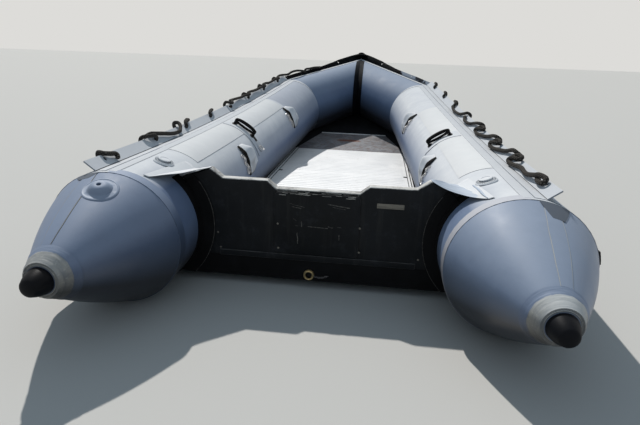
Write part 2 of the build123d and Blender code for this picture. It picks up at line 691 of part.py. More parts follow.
def build():
    paired = {}
    paired.update(tubes())
    paired.update(stern_cone())
    paired.update(side_flange())
    paired.update(rub_strake())
    paired.update(top_patch())
    paired.update(transom_collar())
    paired.update(transom_web())
    paired.update(stringer())
    clearance = Circle(TUBE_RADIUS + GLUE_GAP)
    clear_tubes = [run_aft(clearance, CONE_SEAM_Y), run_bow(clearance)]
    paired.update(lashing_pockets(clear_tubes[0]))
    paired.update(tube_valve(clear_tubes[0]))

    single = {
        "nose_tape": nose_tape(),
        "transom_board": transom_board(),
        "hull_bottom": hull_bottom(clear_tubes),
        "cone_boss_port": mirror(cone_boss(), about=Plane.YZ),
    }
    single.update(transom_fittings())
    single.update(floor_boards())
    single.update(bow_board())

    model = {}
    for name, shape in paired.items():
        solids = solids_of(shape)
        model[f"{name}_starboard"] = solids
        model[f"{name}_port"] = [mirror(solid, about=Plane.YZ) for solid in solids]
    for name, shape in grab_handle("starboard").items():
        model[f"{name}_starboard"] = solids_of(shape)
    for name, shape in grab_handle("port").items():
        model[f"{name}_port"] = [mirror(solid, about=Plane.YZ) for solid in solids_of(shape)]
    for name, shape in single.items():
        model[name] = solids_of(shape)
    return model


def solids_of(shape):
    shapes = shape if isinstance(shape, list) else [shape]
    return [solid for one in shapes for solid in one.solids()]


def main():
    model = build()
    box = Compound([solid for solids in model.values() for solid in solids]).bounding_box()
    shift = Pos(-box.center().X, -box.center().Y, -box.min.Z)
    print("size", [round(value, 2) for value in box.size], "shift", [round(v, 3) for v in shift.position])
    for name, solids in model.items():
        moved = [shift * solid for solid in solids]
        export_step(moved[0] if len(moved) == 1 else Compound(moved), f"parts/{name}.step")


main()
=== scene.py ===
# %% [markdown]
# # Dressing an inflatable work boat
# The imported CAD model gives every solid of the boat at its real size. This lesson
# keeps those solids as the frame, gives each one a finish, and adds what only shows up
# close: seams, worn edges, screws, the laced lifeline, straps and folded fabric.

# %% Load the frame
import random
from math import asin, cos, hypot, pi, radians, sin

import bmesh
import bpy
from mathutils import Matrix, Vector, noise
from mathutils.bvhtree import BVHTree
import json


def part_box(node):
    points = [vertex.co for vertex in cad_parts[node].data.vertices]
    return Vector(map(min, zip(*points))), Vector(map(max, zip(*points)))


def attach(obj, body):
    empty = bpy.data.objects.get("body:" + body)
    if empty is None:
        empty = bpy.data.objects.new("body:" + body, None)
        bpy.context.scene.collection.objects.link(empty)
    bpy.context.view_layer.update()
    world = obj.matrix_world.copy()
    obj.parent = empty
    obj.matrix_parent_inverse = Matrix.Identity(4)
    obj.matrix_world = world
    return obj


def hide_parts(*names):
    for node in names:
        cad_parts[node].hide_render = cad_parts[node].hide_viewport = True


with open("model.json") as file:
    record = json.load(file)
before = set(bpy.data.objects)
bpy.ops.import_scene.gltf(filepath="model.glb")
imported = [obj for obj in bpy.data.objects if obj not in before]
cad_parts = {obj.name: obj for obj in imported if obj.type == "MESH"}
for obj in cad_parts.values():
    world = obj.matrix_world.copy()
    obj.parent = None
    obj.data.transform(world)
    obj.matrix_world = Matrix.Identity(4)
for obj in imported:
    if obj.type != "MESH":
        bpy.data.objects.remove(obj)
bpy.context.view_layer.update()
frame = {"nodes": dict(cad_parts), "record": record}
nodes = frame["nodes"]

# %% [markdown]
# The boat is described once more by the few sizes that its tubes follow, in metres.
# The tubes run straight beside the transom, rise and close in along one large arc, the
# sheer, and then meet at the nose in two straight runs. Aft of the transom each one ends
# in a cone, whose axis climbs a little towards its tip. Distances along the tube start at
# the transom's aft face.

# %% Sizes of the tubes
TUBE_RADIUS = 0.25
HALF_CENTRES = 0.715
SHEER_START = 0.1
KINK_Y = 2.62
KINK_RISE = 0.19
KINK_TOE_IN = 0.165
NOSE_Y = 3.39
NOSE_HEIGHT = 0.61
CONE_SEAM_Y = -0.237
CONE_LENGTH = 0.403
TIP_RISE = 0.027
FLANGE_ANGLE = 13
FABRIC = 0.0015
TRANSOM_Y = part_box("transom_board")[0].y
SIDES = (("starboard", 1), ("port", -1))
print("transom's aft face at y", round(TRANSOM_Y, 4))

# %% [markdown]
# A place on the tube is a matrix: its columns point outboard, forward and up, and its
# origin lies on the tube's axis. Turning the last straight place about the centre of
# the sheer gives every place further forward, so a fitting only needs to know how far
# forward of the transom it sits and at what angle round the tube.

# %% Places along the tube
sheer_offset = hypot(KINK_RISE, KINK_TOE_IN)
sheer_run = KINK_Y - SHEER_START
sheer_radius = (sheer_run ** 2 + sheer_offset ** 2) / (2 * sheer_offset)
sheer_towards = Vector((-KINK_TOE_IN, 0, KINK_RISE)) / sheer_offset
sheer_axis = Vector((0, 1, 0)).cross(sheer_towards)
straight_end = Vector((HALF_CENTRES, TRANSOM_Y + SHEER_START, TUBE_RADIUS))
sheer_centre = straight_end + sheer_towards * sheer_radius


def turned_about(point, axis, angle):
    return Matrix.Translation(point) @ Matrix.Rotation(angle, 4, axis) @ Matrix.Translation(-point)


def tipped(place, degrees, axis="Y"):
    """A place turned about one of its own axes."""
    return place @ Matrix.Rotation(radians(degrees), 4, axis)


def tube_place(forward):
    """Axes and centre of the starboard tube, at a distance forward of the transom."""
    if forward <= SHEER_START:
        return Matrix.Translation((HALF_CENTRES, TRANSOM_Y + forward, TUBE_RADIUS))
    angle = asin((forward - SHEER_START) / sheer_radius)
    return turned_about(sheer_centre, sheer_axis, angle) @ Matrix.Translation(straight_end)


def skin_place(forward, angle, height=0.0):
    """The same, moved to the tube's skin: Z points out of it and Y along it."""
    return tipped(tube_place(forward), angle) @ Matrix.Translation((0, 0, TUBE_RADIUS + height))


kink_place = tube_place(KINK_Y)
nose_point = Vector((0, TRANSOM_Y + NOSE_Y, NOSE_HEIGHT))
bow_run = nose_point - kink_place.translation
kink_forward = kink_place.col[1].xyz
kink_axis = kink_forward.cross(bow_run).normalized()
kink_angle = kink_forward.angle(bow_run)
bow_start = turned_about(kink_place.translation, kink_axis, kink_angle) @ kink_place


def bow_place(distance):
    """Axes and centre of the starboard bow run, at a distance from the kink."""
    return bow_start @ Matrix.Translation((0, distance, 0))


print("sheer radius", round(sheer_radius, 3), "bow run", round(bow_run.length, 3))

# %% [markdown]
# ## Camera
# The camera stands low behind the stern, a little to starboard, tilted down and turned
# slightly to port. The lens and the place were fitted to the outlines of the tubes.

# %% Camera
LENS_PIXELS = 488.3
IMAGE_WIDTH = 640
SENSOR_MM = 36
CAMERA_PLACE = Vector((0.210, TRANSOM_Y - 1.802, 0.924))
YAW, PITCH, ROLL = 0.10982, 0.31671, 0.03544

ahead = Vector((-sin(YAW) * cos(PITCH), cos(YAW) * cos(PITCH), -sin(PITCH)))
level_right = Vector((cos(YAW), sin(YAW), 0))
level_up = level_right.cross(ahead)
right = cos(ROLL) * level_right + sin(ROLL) * level_up
above = cos(ROLL) * level_up - sin(ROLL) * level_right
camera_data = bpy.data.cameras.new("camera")
camera_data.sensor_width = SENSOR_MM
camera_data.lens = LENS_PIXELS / IMAGE_WIDTH * SENSOR_MM
camera_data.clip_end = 200
camera = bpy.data.objects.new("camera", camera_data)
bpy.context.scene.collection.objects.link(camera)
bpy.context.scene.camera = camera
camera_turn = Matrix((right, above, -ahead)).transposed().to_4x4()
camera.matrix_world = Matrix.Translation(CAMERA_PLACE) @ camera_turn
print("lens", round(camera_data.lens, 3), "mm")

# %% [markdown]
# ## Making pieces
# Every new piece is shaped as a bmesh in the boat's own frame and handed to one
# function, which makes its object, gives it its finish, marks what it rides on and hides
# the CAD node that it stands for. A paired piece is shaped on the starboard side only: its
# port twin is the same mesh scaled by minus one, with its faces turned back outwards.
# Edges sharper than the angle below stay crisp, and all others are shaded smooth.

# %% Making a piece
SMOOTH_ANGLE = radians(38)


def made(name, shape, finish, replaces=()):
    """Turn a bmesh into a finished piece of the boat."""
    mesh = bpy.data.meshes.new(name)
    shape.to_mesh(mesh)
    shape.free()
    mesh.shade_smooth()
    mesh.set_sharp_from_angle(angle=SMOOTH_ANGLE)
    piece = bpy.data.objects.new(name, mesh)
    bpy.context.scene.collection.objects.link(piece)
    mesh.materials.append(finish)
    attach(piece, "root")
    if replaces:
        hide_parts(*replaces)
    return piece


def mirrored(shape):
    twin = shape.copy()
    bmesh.ops.scale(twin, vec=(-1, 1, 1), verts=twin.verts)
    bmesh.ops.reverse_faces(twin, faces=twin.faces)
    return twin


def made_twice(name, shape, finish, replaces=(), port_finish=None):
    """The starboard piece and its port twin, which may have a finish of its own."""
    twin = mirrored(shape)
    made(f"{name}_starboard", shape, finish, [f"{node}_starboard" for node in replaces])
    made(f"{name}_port", twin, port_finish or finish, [f"{node}_port" for node in replaces])


def merged(*shapes):
    """One bmesh that holds them all."""
    whole = bmesh.new()
    for shape in shapes:
        carrier = bpy.data.meshes.new("carrier")
        shape.to_mesh(carrier)
        whole.from_mesh(carrier)
        shape.free()
        bpy.data.meshes.remove(carrier)
    return whole


def moved(shape, place):
    bmesh.ops.transform(shape, matrix=place, verts=shape.verts)
    return shape


def all_of(shape):
    """Its faces, edges and vertices, as the operators want them."""
    return shape.faces[:] + shape.edges[:] + shape.verts[:]


def verts_in(geometry):
    """The vertices among what an operator has made."""
    return [item for item in geometry if isinstance(item, bmesh.types.BMVert)]


print("smooth below", round(SMOOTH_ANGLE, 3), "radians")

# %% [markdown]
# ## Finishes
# A finish is a small node tree on the object's own coordinates, which are metres on the
# boat. Each call below adds one node and hands back its output, so that a recipe reads
# from the grain up: noise, colour ramps, roughness and then bump.

# %% A helper for node recipes
def shade(code):
    """A colour from its usual six figure code, made linear."""
    values = [int(code[at:at + 2], 16) / 255 for at in (0, 2, 4)]
    linear = [v / 12.92 if v <= 0.04045 else ((v + 0.055) / 1.055) ** 2.4 for v in values]
    return (*linear, 1.0)


class Recipe:
    """A material while its nodes are being added."""

    def __init__(self, name, roughness=0.5, **sockets):
        self.material = bpy.data.materials.new(name)
        self.material.use_nodes = True
        self.tree = self.material.node_tree
        self.shader = self.tree.nodes["Principled BSDF"]
        self.shader.inputs["Roughness"].default_value = roughness
        for socket, value in sockets.items():
            self.shader.inputs[socket.replace("_", " ")].default_value = value
        self.place = self.add("ShaderNodeTexCoord").outputs["Object"]
        facing = self.add("ShaderNodeNewGeometry").outputs["Normal"]
        self.upward = self.add("ShaderNodeSeparateXYZ", Vector=facing).outputs["Z"]

    def add(self, kind, settings=None, **inputs):
        node = self.tree.nodes.new(kind)
        for key, value in (settings or {}).items():
            setattr(node, key, value)
        for key, value in inputs.items():
            self.feed(node.inputs[key.replace("_", " ")], value)
        return node

    def feed(self, socket, value):
        if isinstance(value, bpy.types.NodeSocket):
            self.tree.links.new(value, socket)
        else:
            socket.default_value = value

    def scaled(self, x, y, z, place=None):
        node = self.add("ShaderNodeMapping", Vector=place or self.place, Scale=(x, y, z))
        return node.outputs["Vector"]

    def noise(self, scale, detail=3.0, roughness=0.55, place=None, distortion=0.0):
        node = self.add("ShaderNodeTexNoise", Vector=place or self.place, Scale=scale,
                        Detail=detail, Roughness=roughness, Distortion=distortion)
        return node.outputs["Fac"]

    def waves(self, scale, direction="X", distortion=0.0, place=None):
        settings = {"wave_type": "BANDS", "bands_direction": direction}
        node = self.add("ShaderNodeTexWave", settings, Vector=place or self.place, Scale=scale,
                        Distortion=distortion, Detail=1.0)
        return node.outputs["Fac"]

    def spread(self, value, low, high, to_low=0.0, to_high=1.0):
        node = self.add("ShaderNodeMapRange", Value=value, From_Min=low, From_Max=high,
                        To_Min=to_low, To_Max=to_high)
        return node.outputs["Result"]

    def sum(self, first, second, operation="ADD"):
        node = self.add("ShaderNodeMath", {"operation": operation, "use_clamp": operation == "ADD"})
        self.feed(node.inputs[0], first)
        self.feed(node.inputs[1], second)
        return node.outputs[0]

    def times(self, first, second):
        return self.sum(first, second, "MULTIPLY")

    def blend(self, factor, first, second, mode="MIX"):
        node = self.add("ShaderNodeMix", {"data_type": "RGBA", "blend_type": mode})
        for index, value in ((0, factor), (6, first), (7, second)):
            self.feed(node.inputs[index], value)
        return node.outputs[2]

    def bump(self, height, distance, strength=1.0, over=None):
        node = self.add("ShaderNodeBump", Height=height, Distance=distance, Strength=strength)
        if over:
            self.feed(node.inputs["Normal"], over)
        return node.outputs["Normal"]

    def attribute(self, name):
        return self.add("ShaderNodeAttribute", {"attribute_name": name}).outputs["Fac"]

    def axis(self, name):
        return self.add("ShaderNodeSeparateXYZ", Vector=self.place).outputs[name]

    def done(self, colour=None, roughness=None, normal=None):
        for socket, value in (("Base Color", colour), ("Roughness", roughness), ("Normal", normal)):
            if value is not None:
                self.feed(self.shader.inputs[socket], value)
        return self.material


print("mid grey", [round(value, 3) for value in shade("808080")])

# %% [markdown]
# The tubes are woven polyester under a rubber skin. Close up the skin has a very fine
# orange peel, over a hand's breadth it shows faint wrinkles, and over a metre it is
# mottled by weather. Where the skin faces up it turns pale, partly from a dusting and
# partly as painted sunlight. Rain draws faint streaks down the sides, and painted shade
# darkens the skin underneath. On the main tubes the pale tops are cut back as painted
# shade, aft of the transom and to port ahead of the wear patch.

# %% Coated fabric
PATCH_SPAN = (0.222, 1.802)


def coated_fabric(name, tones, roughness, dust_and_sun_share=0.35, gloss=0.3, dust_and_sun_from=0.15,
                  dust_and_sun_to=0.95, painted_shade_from=0.2, with_painted_shade_spots=False):
    """Rubber skin in three tones: dark and light mottling, and a pale top of dusting and painted
    sunlight.
    """
    dark, light, dust_and_sun_tone = (shade(code) for code in tones)
    mix = Recipe(name, Specular_IOR_Level=gloss)
    cloudy = mix.noise(1.6, 4.0, 0.6)
    blotchy = mix.noise(11.0, 5.0, 0.65, distortion=0.4)
    streaks = mix.noise(9.0, 3.0, 0.6, place=mix.scaled(1.0, 1.0, 0.12))
    weathered = mix.sum(mix.times(cloudy, 0.75), mix.times(blotchy, 0.25))
    colour = mix.blend(mix.spread(weathered, 0.3, 0.7), dark, light)
    # Pale upward faces: partly a dusting, partly painted sunlight.
    faces_up = mix.spread(mix.upward, dust_and_sun_from, dust_and_sun_to)
    # Painted shade: aft of the transom only the flattest tops stay pale, and to port ahead of the
    # wear patch about half of the pale is taken away.
    if with_painted_shade_spots:
        aft = mix.spread(mix.axis("Y"), TRANSOM_Y - 0.05, TRANSOM_Y + 0.03, 1.0, 0.0)
        narrow = mix.spread(mix.upward, 0.72, 0.97)
        elsewhere = mix.times(faces_up, mix.sum(1.0, aft, "SUBTRACT"))
        faces_up = mix.sum(mix.times(narrow, aft), elsewhere)
        patch_end = TRANSOM_Y + PATCH_SPAN[1]
        fore = mix.spread(mix.axis("Y"), patch_end - 0.01, patch_end + 0.02)
        fore_port = mix.times(fore, mix.spread(mix.axis("X"), -0.1, -0.05, 0.46, 0.0))
        faces_up = mix.times(faces_up, mix.sum(1.0, fore_port, "SUBTRACT"))
    patchy = mix.spread(mix.sum(blotchy, streaks, "MULTIPLY"), 0.12, 0.4, 0.84, 1.0)
    pale_share = mix.times(mix.times(faces_up, patchy), dust_and_sun_share)
    colour = mix.blend(pale_share, colour, dust_and_sun_tone)
    # Painted shade: faces that point down are darkened towards a near black.
    painted_underside_shade = mix.spread(mix.upward, -0.45, painted_shade_from, 0.92, 0.0)
    colour = mix.blend(painted_underside_shade, colour, shade("211f1e"))
    dragged = mix.noise(38.0, 6.0, 0.75, place=mix.scaled(1.0, 0.18, 1.0))
    colour = mix.blend(mix.spread(dragged, 0.66, 0.74, 0.0, 0.2), colour, light)
    rough = mix.spread(blotchy, 0.3, 0.7, roughness, roughness + 0.12)
    rough = mix.sum(rough, mix.times(pale_share, 0.5))
    wrinkles = mix.bump(mix.noise(5.5, 2.0, 0.45), 0.004, 0.05)
    peel = mix.bump(mix.noise(420.0, 2.0, 0.5), 0.0004, 0.35, over=wrinkles)
    return mix.done(colour, rough, peel)


TUBE_FABRIC = coated_fabric("tube_fabric", ("5e6f90", "7a8ba6", "ecedee"), 0.46, 1.0,
                            dust_and_sun_from=0.05, dust_and_sun_to=0.7, with_painted_shade_spots=True)
# Darker, bluer tones and less pale on top than the tubes: painted shade on the bow runs.
SHADED_BOW_FABRIC = coated_fabric("shaded_bow_fabric", ("536684", "6a7d9a", "b8c3d2"), 0.42, 0.6, dust_and_sun_from=0.4)
# Bluer tones and less pale on top than the tubes: painted shade on the cones.
CONE_FABRIC = coated_fabric("cone_fabric", ("67768f", "8393ac", "bcc8da"), 0.3, 0.5, gloss=0.45,
                            painted_shade_from=0.25)
# A darker, bluer copy of the cone, with its painted shade further up the underside, paints the
# deeper shade on the port cone.
SHADED_PORT_CONE = coated_fabric("shaded_port_cone", ("55647f", "6e7f9b", "a6b5cc"), 0.3, 0.5, gloss=0.45,
                          painted_shade_from=0.42)
FLANGE_FABRIC = coated_fabric("flange_fabric", ("949daa", "abb2bc", "e4e5e6"), 0.42, 0.85)
RING_FABRIC = coated_fabric("ring_fabric", ("8d919b", "a7a9b1", "dfdfe3"), 0.4, 0.8)
MATTE_PATCH = coated_fabric("matte_patch", ("c3c5c8", "d2d3d5", "f0f0ef"), 0.58, 1.0)
PATCH_CLOTH = coated_fabric("patch_cloth", ("c8cdd4", "dcdfe3", "f2f2f2"), 0.4, 0.8)
# Darker, bluer cloth: painted shade on the span of the starboard web.
SHADED_WEB_CLOTH = coated_fabric("shaded_web_cloth", ("7f94b2", "c3cfde", "e8ecf1"), 0.38, 0.46, dust_and_sun_from=0.3)
TAIL_FABRIC = coated_fabric("tail_fabric", ("444c57", "59626f", "757d88"), 0.45, 0.4)
GLUE_FILM = coated_fabric("glue_film", ("84847f", "9b968a", "aaa596"), 0.4, 0.3)
# A paler copy of the glue film: painted sunlight on the starboard cone.
SUNLIT_GLUE = coated_fabric("sunlit_glue", ("b3b6b9", "c9c8c2", "d6d4cb"), 0.4, 0.3)
print("wear patch from", PATCH_SPAN[0], "to", PATCH_SPAN[1], "m forward of the transom")

# %% [markdown]
# The bands round the stern tips were glued in layers, and the glue has yellowed and run
# past their edges. Two noises of different size drive a blend from clean grey to glue,
# and a short way up the cone the glue ends in a ragged line. The starboard band's top is
# painted pale as sunlight and the port one's only a little, the port band gets a darker
# cone tone as painted shade, and both are painted darker underneath as shade.

# %% Glued bands
TIP_Y = TRANSOM_Y + CONE_SEAM_Y - CONE_LENGTH
GLUE_REACH = 0.041


def glued_band(name, painted_sun_on_top, cone_tone, painted_shade_from):
    mix = Recipe(name, Specular_IOR_Level=0.4)
    stains = mix.noise(26.0, 5.0, 0.7, distortion=0.8)
    rings = mix.noise(60.0, 2.0, 0.5, place=mix.scaled(0.15, 1.0, 0.15))
    glue = mix.spread(mix.sum(mix.times(stains, 0.6), mix.times(rings, 0.4)), 0.4, 0.6)
    colour = mix.blend(glue, shade("7e8184"), shade("9c9b95"))
    drops = mix.spread(mix.noise(90.0, 3.0), 0.6, 0.75, 0.0, 0.5)
    colour = mix.blend(drops, colour, shade("cccabf"))
    # Painted sunlight: the top is blended towards a pale grey.
    colour = mix.blend(mix.spread(mix.upward, 0.1, 0.9, 0.0, painted_sun_on_top), colour, shade("e2e3e1"))
    run = mix.sum(mix.axis("Y"), mix.times(stains, 0.012), "SUBTRACT")
    beyond = mix.spread(run, TIP_Y + GLUE_REACH - 0.006, TIP_Y + GLUE_REACH - 0.003)
    # Beyond the glue the cone is painted paler on top, as sunlight.
    bare_cone = mix.blend(mix.spread(mix.upward, 0.15, 0.95, 0.0, 0.42), cone_tone, shade("b4c1d5"))
    colour = mix.blend(beyond, colour, bare_cone)
    # Painted shade: the underside is darkened.
    colour = mix.blend(mix.spread(mix.upward, -0.5, painted_shade_from, 0.88, 0.0), colour, shade("242424"))
    bumps = mix.bump(rings, 0.004, 0.8, over=mix.bump(stains, 0.0015, 0.5))
    return mix.done(colour, mix.spread(glue, 0.0, 1.0, 0.62, 0.38), bumps)


# Strong painted sunlight to starboard; to port little of it, a darker cone tone and more painted
# shade underneath.
GLUED_BAND = glued_band("glued_band", 0.85, shade("75849e"), 0.28)
SHADED_PORT_BAND = glued_band("shaded_port_band", 0.25, shade("61718d"), 0.42)
print("glue reaches", GLUE_REACH, "m up the cone")

# %% [markdown]
# Black rubber is never quite black outdoors: a grey bloom lies over it in patches, and
# its surface is finely pebbled. Webbing is the same black, but rough and woven, which
# two crossing waves show at the right scale. On the rope the two waves are strands that
# wind both ways round it, so they read the map that each swept rope carries.

# %% Black rubber, webbing and rope
PEBBLE_SCALE = 260.0
STRANDS = 4
STRAND_PITCH = 0.036
DIAGONAL_CYCLE = 0.2 * pi


def black_rubber(name, base, bloom, bloom_share, roughness, gloss=0.1):
    base, bloom = shade(base), shade(bloom)
    mix = Recipe(name, Specular_IOR_Level=gloss)
    patches = mix.noise(7.0, 5.0, 0.65, distortion=0.5)
    share = mix.spread(patches, 0.42, 0.7, 0.0, bloom_share)
    up = mix.times(mix.spread(mix.upward, 0.2, 1.0, 0.0, 0.14), mix.noise(30.0, 3.0))
    colour = mix.blend(mix.sum(share, up), base, bloom)
    normal = mix.bump(mix.noise(PEBBLE_SCALE, 2.0), 0.0006, 0.4)
    return mix.done(colour, mix.spread(patches, 0.3, 0.7, roughness, roughness + 0.2), normal)


BLACK_RUBBER = black_rubber("black_rubber", "0c0d0f", "28292c", 0.3, 0.5)
CAP_RUBBER = black_rubber("cap_rubber", "090b10", "181c25", 0.3, 0.4)
NOSE_RUBBER = black_rubber("nose_rubber", "0c0f14", "1f242c", 0.35, 0.6, gloss=0.05)
LUG_RUBBER = black_rubber("lug_rubber", "0b0c0e", "1d1e21", 0.3, 0.75, gloss=0.03)
BOTTOM_FABRIC = black_rubber("bottom_fabric", "1e1f22", "34363a", 0.5, 0.6)


def woven_black(name, colour, lift, weave=None):
    """Black woven stuff; without a scale of its own the weave follows the rope's map."""
    mix = Recipe(name, Specular_IOR_Level=0.12)
    if weave:
        mapping = mix.add("ShaderNodeMapping", Vector=mix.place, Rotation=(0.6, 0.5, 0.8))
        turned = mapping.outputs["Vector"]
        first, second = (mix.waves(weave, direction, 1.0, turned) for direction in "XY")
    else:
        route = mix.add("ShaderNodeUVMap", {"uv_map": "weave"}).outputs["UV"]
        run = DIAGONAL_CYCLE / STRAND_PITCH * STRANDS
        windings = [mix.scaled(turns * DIAGONAL_CYCLE, run, 0, route)
                    for turns in (STRANDS, -STRANDS)]
        first, second = (mix.waves(1.0, "DIAGONAL", place=winding) for winding in windings)
    braid = mix.times(first, second)
    fuzz = mix.noise(300.0, 3.0, 0.7)
    share = mix.spread(mix.sum(mix.times(braid, 0.5), mix.times(fuzz, 0.5)), 0.2, 0.8)
    # The lighter tone on the crests of the strands is partly painted highlight.
    tone = mix.blend(share, shade(colour), shade(lift))
    return mix.done(tone, 0.82, mix.bump(mix.times(braid, fuzz), 0.0012, 0.8))


ROPE_BLACK = woven_black("rope_black", "0e0e0e", "66615b")
WEBBING_BLACK = woven_black("webbing_black", "0b0b0c", "1f1f21", 240.0)
print("strand pitch", STRAND_PITCH, "m")

# %% [markdown]
# The transom is plywood under black paint. The paint has gone matt, water has left pale
# runs, and every edge that hands and ropes touch is rubbed to bare pale wood. The
# bevelled copies of the CAD boards carry an attribute, worn, that is one on their edges.
# The outer corners lie under the webs and keep their paint, so the wear stops at a
# distance from the middle, which is compared by its square.

# %% Painted ply
WORN_WITHIN_SQUARED = (0.183, 0.187)


def painted_ply(name, wear):
    mix = Recipe(name, Specular_IOR_Level=0.12)
    clouds = mix.noise(3.5, 5.0, 0.65)
    runs = mix.noise(30.0, 4.0, 0.7, place=mix.scaled(1.0, 1.0, 0.07))
    colour = mix.blend(mix.spread(clouds, 0.35, 0.7), shade("16181a"), shade("232528"))
    colour = mix.blend(mix.spread(runs, 0.54, 0.78, 0.0, 0.45), colour, shade("3e3d3b"))
    pale_share = mix.spread(mix.noise(14.0, 6.0, 0.8), 0.54, 0.76, 0.0, 0.4)
    colour = mix.blend(pale_share, colour, shade("414347"))
    flecks = mix.spread(mix.noise(160.0, 2.0, 0.8), 0.74, 0.78, 0.0, 0.45)
    colour = mix.blend(flecks, colour, shade("77756f"))
    grain = mix.noise(22.0, 5.0, 0.7, place=mix.scaled(0.3, 6.0, 6.0))
    bare = mix.blend(mix.spread(grain, 0.35, 0.65), shade("c3c0b9"), shade("f0eeea"))
    top = mix.spread(mix.upward, 0.6, 0.9)
    rubbed = mix.times(mix.attribute("worn"), mix.spread(mix.noise(18.0, 5.0, 0.7), 0.38, 0.6))
    bare_top = mix.times(top, mix.spread(mix.noise(9.0, 5.0, 0.7), 0.25, 0.5))
    bare_share = mix.times(mix.sum(bare_top, mix.times(rubbed, 0.75)), wear)
    across = mix.axis("X")
    inside = mix.spread(mix.times(across, across), *WORN_WITHIN_SQUARED, 1.0, 0.0)
    colour = mix.blend(mix.times(bare_share, inside), colour, bare)
    roughness = mix.spread(clouds, 0.3, 0.7, 0.48, 0.66)
    normal = mix.bump(mix.sum(grain, runs, "MULTIPLY"), 0.0012, 0.5)
    return mix.done(colour, roughness, normal)


PAINTED_PLY = painted_ply("painted_ply", 1.0)
PAINTED_PAD = painted_ply("painted_pad", 0.04)
PAINTED_TRIM = painted_ply("painted_trim", 0.13)


def chipped_paint():
    mix = Recipe("chipped_paint", roughness=0.7)
    flaked = mix.spread(mix.noise(120.0, 4.0, 0.8), 0.4, 0.66)
    return mix.done(mix.blend(flaked, shade("1c1d1f"), shade("6f6d68")))


def bare_wood():
    mix = Recipe("bare_wood", roughness=0.75)
    grain = mix.spread(mix.noise(60.0, 5.0, 0.75, place=mix.scaled(0.25, 3.0, 3.0)), 0.36, 0.64)
    return mix.done(mix.blend(grain, shade("5b5853"), shade("c9c6bf")))


CHIPPED_PAINT = chipped_paint()
BARE_WOOD = bare_wood()
print("paint is worn within", round(WORN_WITHIN_SQUARED[0] ** 0.5, 3), "m of the middle")

# %% [markdown]
# The floor is bare extruded aluminium. Brushing runs across the boat, shoes have dulled
# it in patches, and fine scratches cross at all angles. The bow board is dark board with
# water stains, and one bare brown patch where its skin has lifted.

# %% Metals and the bow board
RIB_SCALE = 34.0


def bare_metal(name, tones, roughness, brushing, metallic, ribs=False):
    """Metal in two tones, with the tone of its stains as a third one if it has any."""
    dark, light, stain = [shade(code) for code in tones] + [None] * (3 - len(tones))
    mix = Recipe(name, Metallic=metallic)
    brushed = mix.noise(24.0, 4.0, 0.6, place=mix.scaled(*brushing))
    dulled = mix.noise(5.0, 5.0, 0.65, distortion=0.6)
    grey = mix.sum(mix.times(brushed, 0.5), mix.times(dulled, 0.5))
    colour = mix.blend(mix.spread(grey, 0.35, 0.65), dark, light)
    if stain:
        spots = mix.spread(mix.noise(14.0, 6.0, 0.75), 0.58, 0.72, 0.0, 0.6)
        colour = mix.blend(spots, colour, stain)
    threads = mix.noise(70.0, 6.0, 0.8, place=mix.scaled(1.0, 0.05, 1.0), distortion=1.5)
    scratches = mix.spread(threads, 0.62, 0.68)
    rough = mix.spread(dulled, 0.3, 0.7, roughness, roughness + 0.18)
    rough = mix.sum(rough, mix.times(scratches, 0.1))
    normal = mix.bump(mix.sum(brushed, scratches, "MULTIPLY"), 0.0005, 0.4)
    if ribs:
        fine = mix.waves(RIB_SCALE, "Y")
        colour = mix.blend(mix.spread(fine, 0.0, 0.4, 0.22, 0.0), colour, stain)
        normal = mix.bump(fine, 0.0006, 0.6, over=normal)
    return mix.done(colour, rough, normal)


EVEN = (6.0, 6.0, 6.0)
FLOOR_METAL = bare_metal("floor_metal", ("e6e8ea", "fafafa", "cfceca"), 0.5, (0.4, 14.0, 14.0), 0.2,
                         ribs=True)
STEEL = bare_metal("steel", ("a5a6a8", "cdced0"), 0.26, EVEN, 1.0)
PLATE_METAL = bare_metal("plate_metal", ("5f5e59", "807e77", "33322f"), 0.5, (2.0, 9.0, 9.0), 0.6)
DULL_STEEL = bare_metal("dull_steel", ("2e2f32", "85878b"), 0.42, EVEN, 0.8)
BRASS = bare_metal("brass", ("776a4a", "b8a67c", "3c3320"), 0.4, EVEN, 0.7)

PATCH_CENTRE = (-0.03, TRANSOM_Y + 2.45)
PATCH_HALF = (0.115, 0.03)


def squared_offset(mix, axis, centre, half):
    """How far a point is from a centre, in half widths, squared."""
    offset = mix.sum(mix.sum(mix.axis(axis), centre, "SUBTRACT"), half, "DIVIDE")
    return mix.times(offset, offset)


def bow_board_finish():
    mix = Recipe("bow_board_ply", Specular_IOR_Level=0.35)
    stains = mix.noise(6.0, 6.0, 0.7, distortion=1.0)
    grain = mix.noise(18.0, 5.0, 0.7, place=mix.scaled(0.35, 5.0, 5.0))
    colour = mix.blend(mix.spread(stains, 0.35, 0.65), shade("6a6c71"), shade("a2a3a6"))
    colour = mix.blend(mix.spread(grain, 0.5, 0.75, 0.0, 0.4), colour, shade("35322e"))
    reach = mix.sum(*(squared_offset(mix, *place) for place in zip("XY", PATCH_CENTRE, PATCH_HALF)))
    ragged = mix.sum(reach, mix.times(mix.noise(30.0, 4.0, 0.7), 0.9), "SUBTRACT")
    brown = mix.blend(mix.spread(grain, 0.35, 0.65), shade("59382b"), shade("84594a"))
    colour = mix.blend(mix.spread(ragged, 0.2, 0.6, 1.0, 0.0), colour, brown)
    return mix.done(colour, mix.spread(stains, 0.3, 0.7, 0.5, 0.75), mix.bump(grain, 0.001, 0.4))


BOW_BOARD = bow_board_finish()
print("brown patch", [round(2 * half, 3) for half in PATCH_HALF], "m")

# %% [markdown]
# The rim at the bow is black and dead matt. On the starboard side the black has come off
# the aft end of the blade and left grey fabric, whose light grey is also painted sunlight.
# Dark crease lines on it are painted shade, more of them towards the kink, so one blend
# follows the place across the boat and a second one, from a stretched noise that fades
# with that place, draws the crease lines.

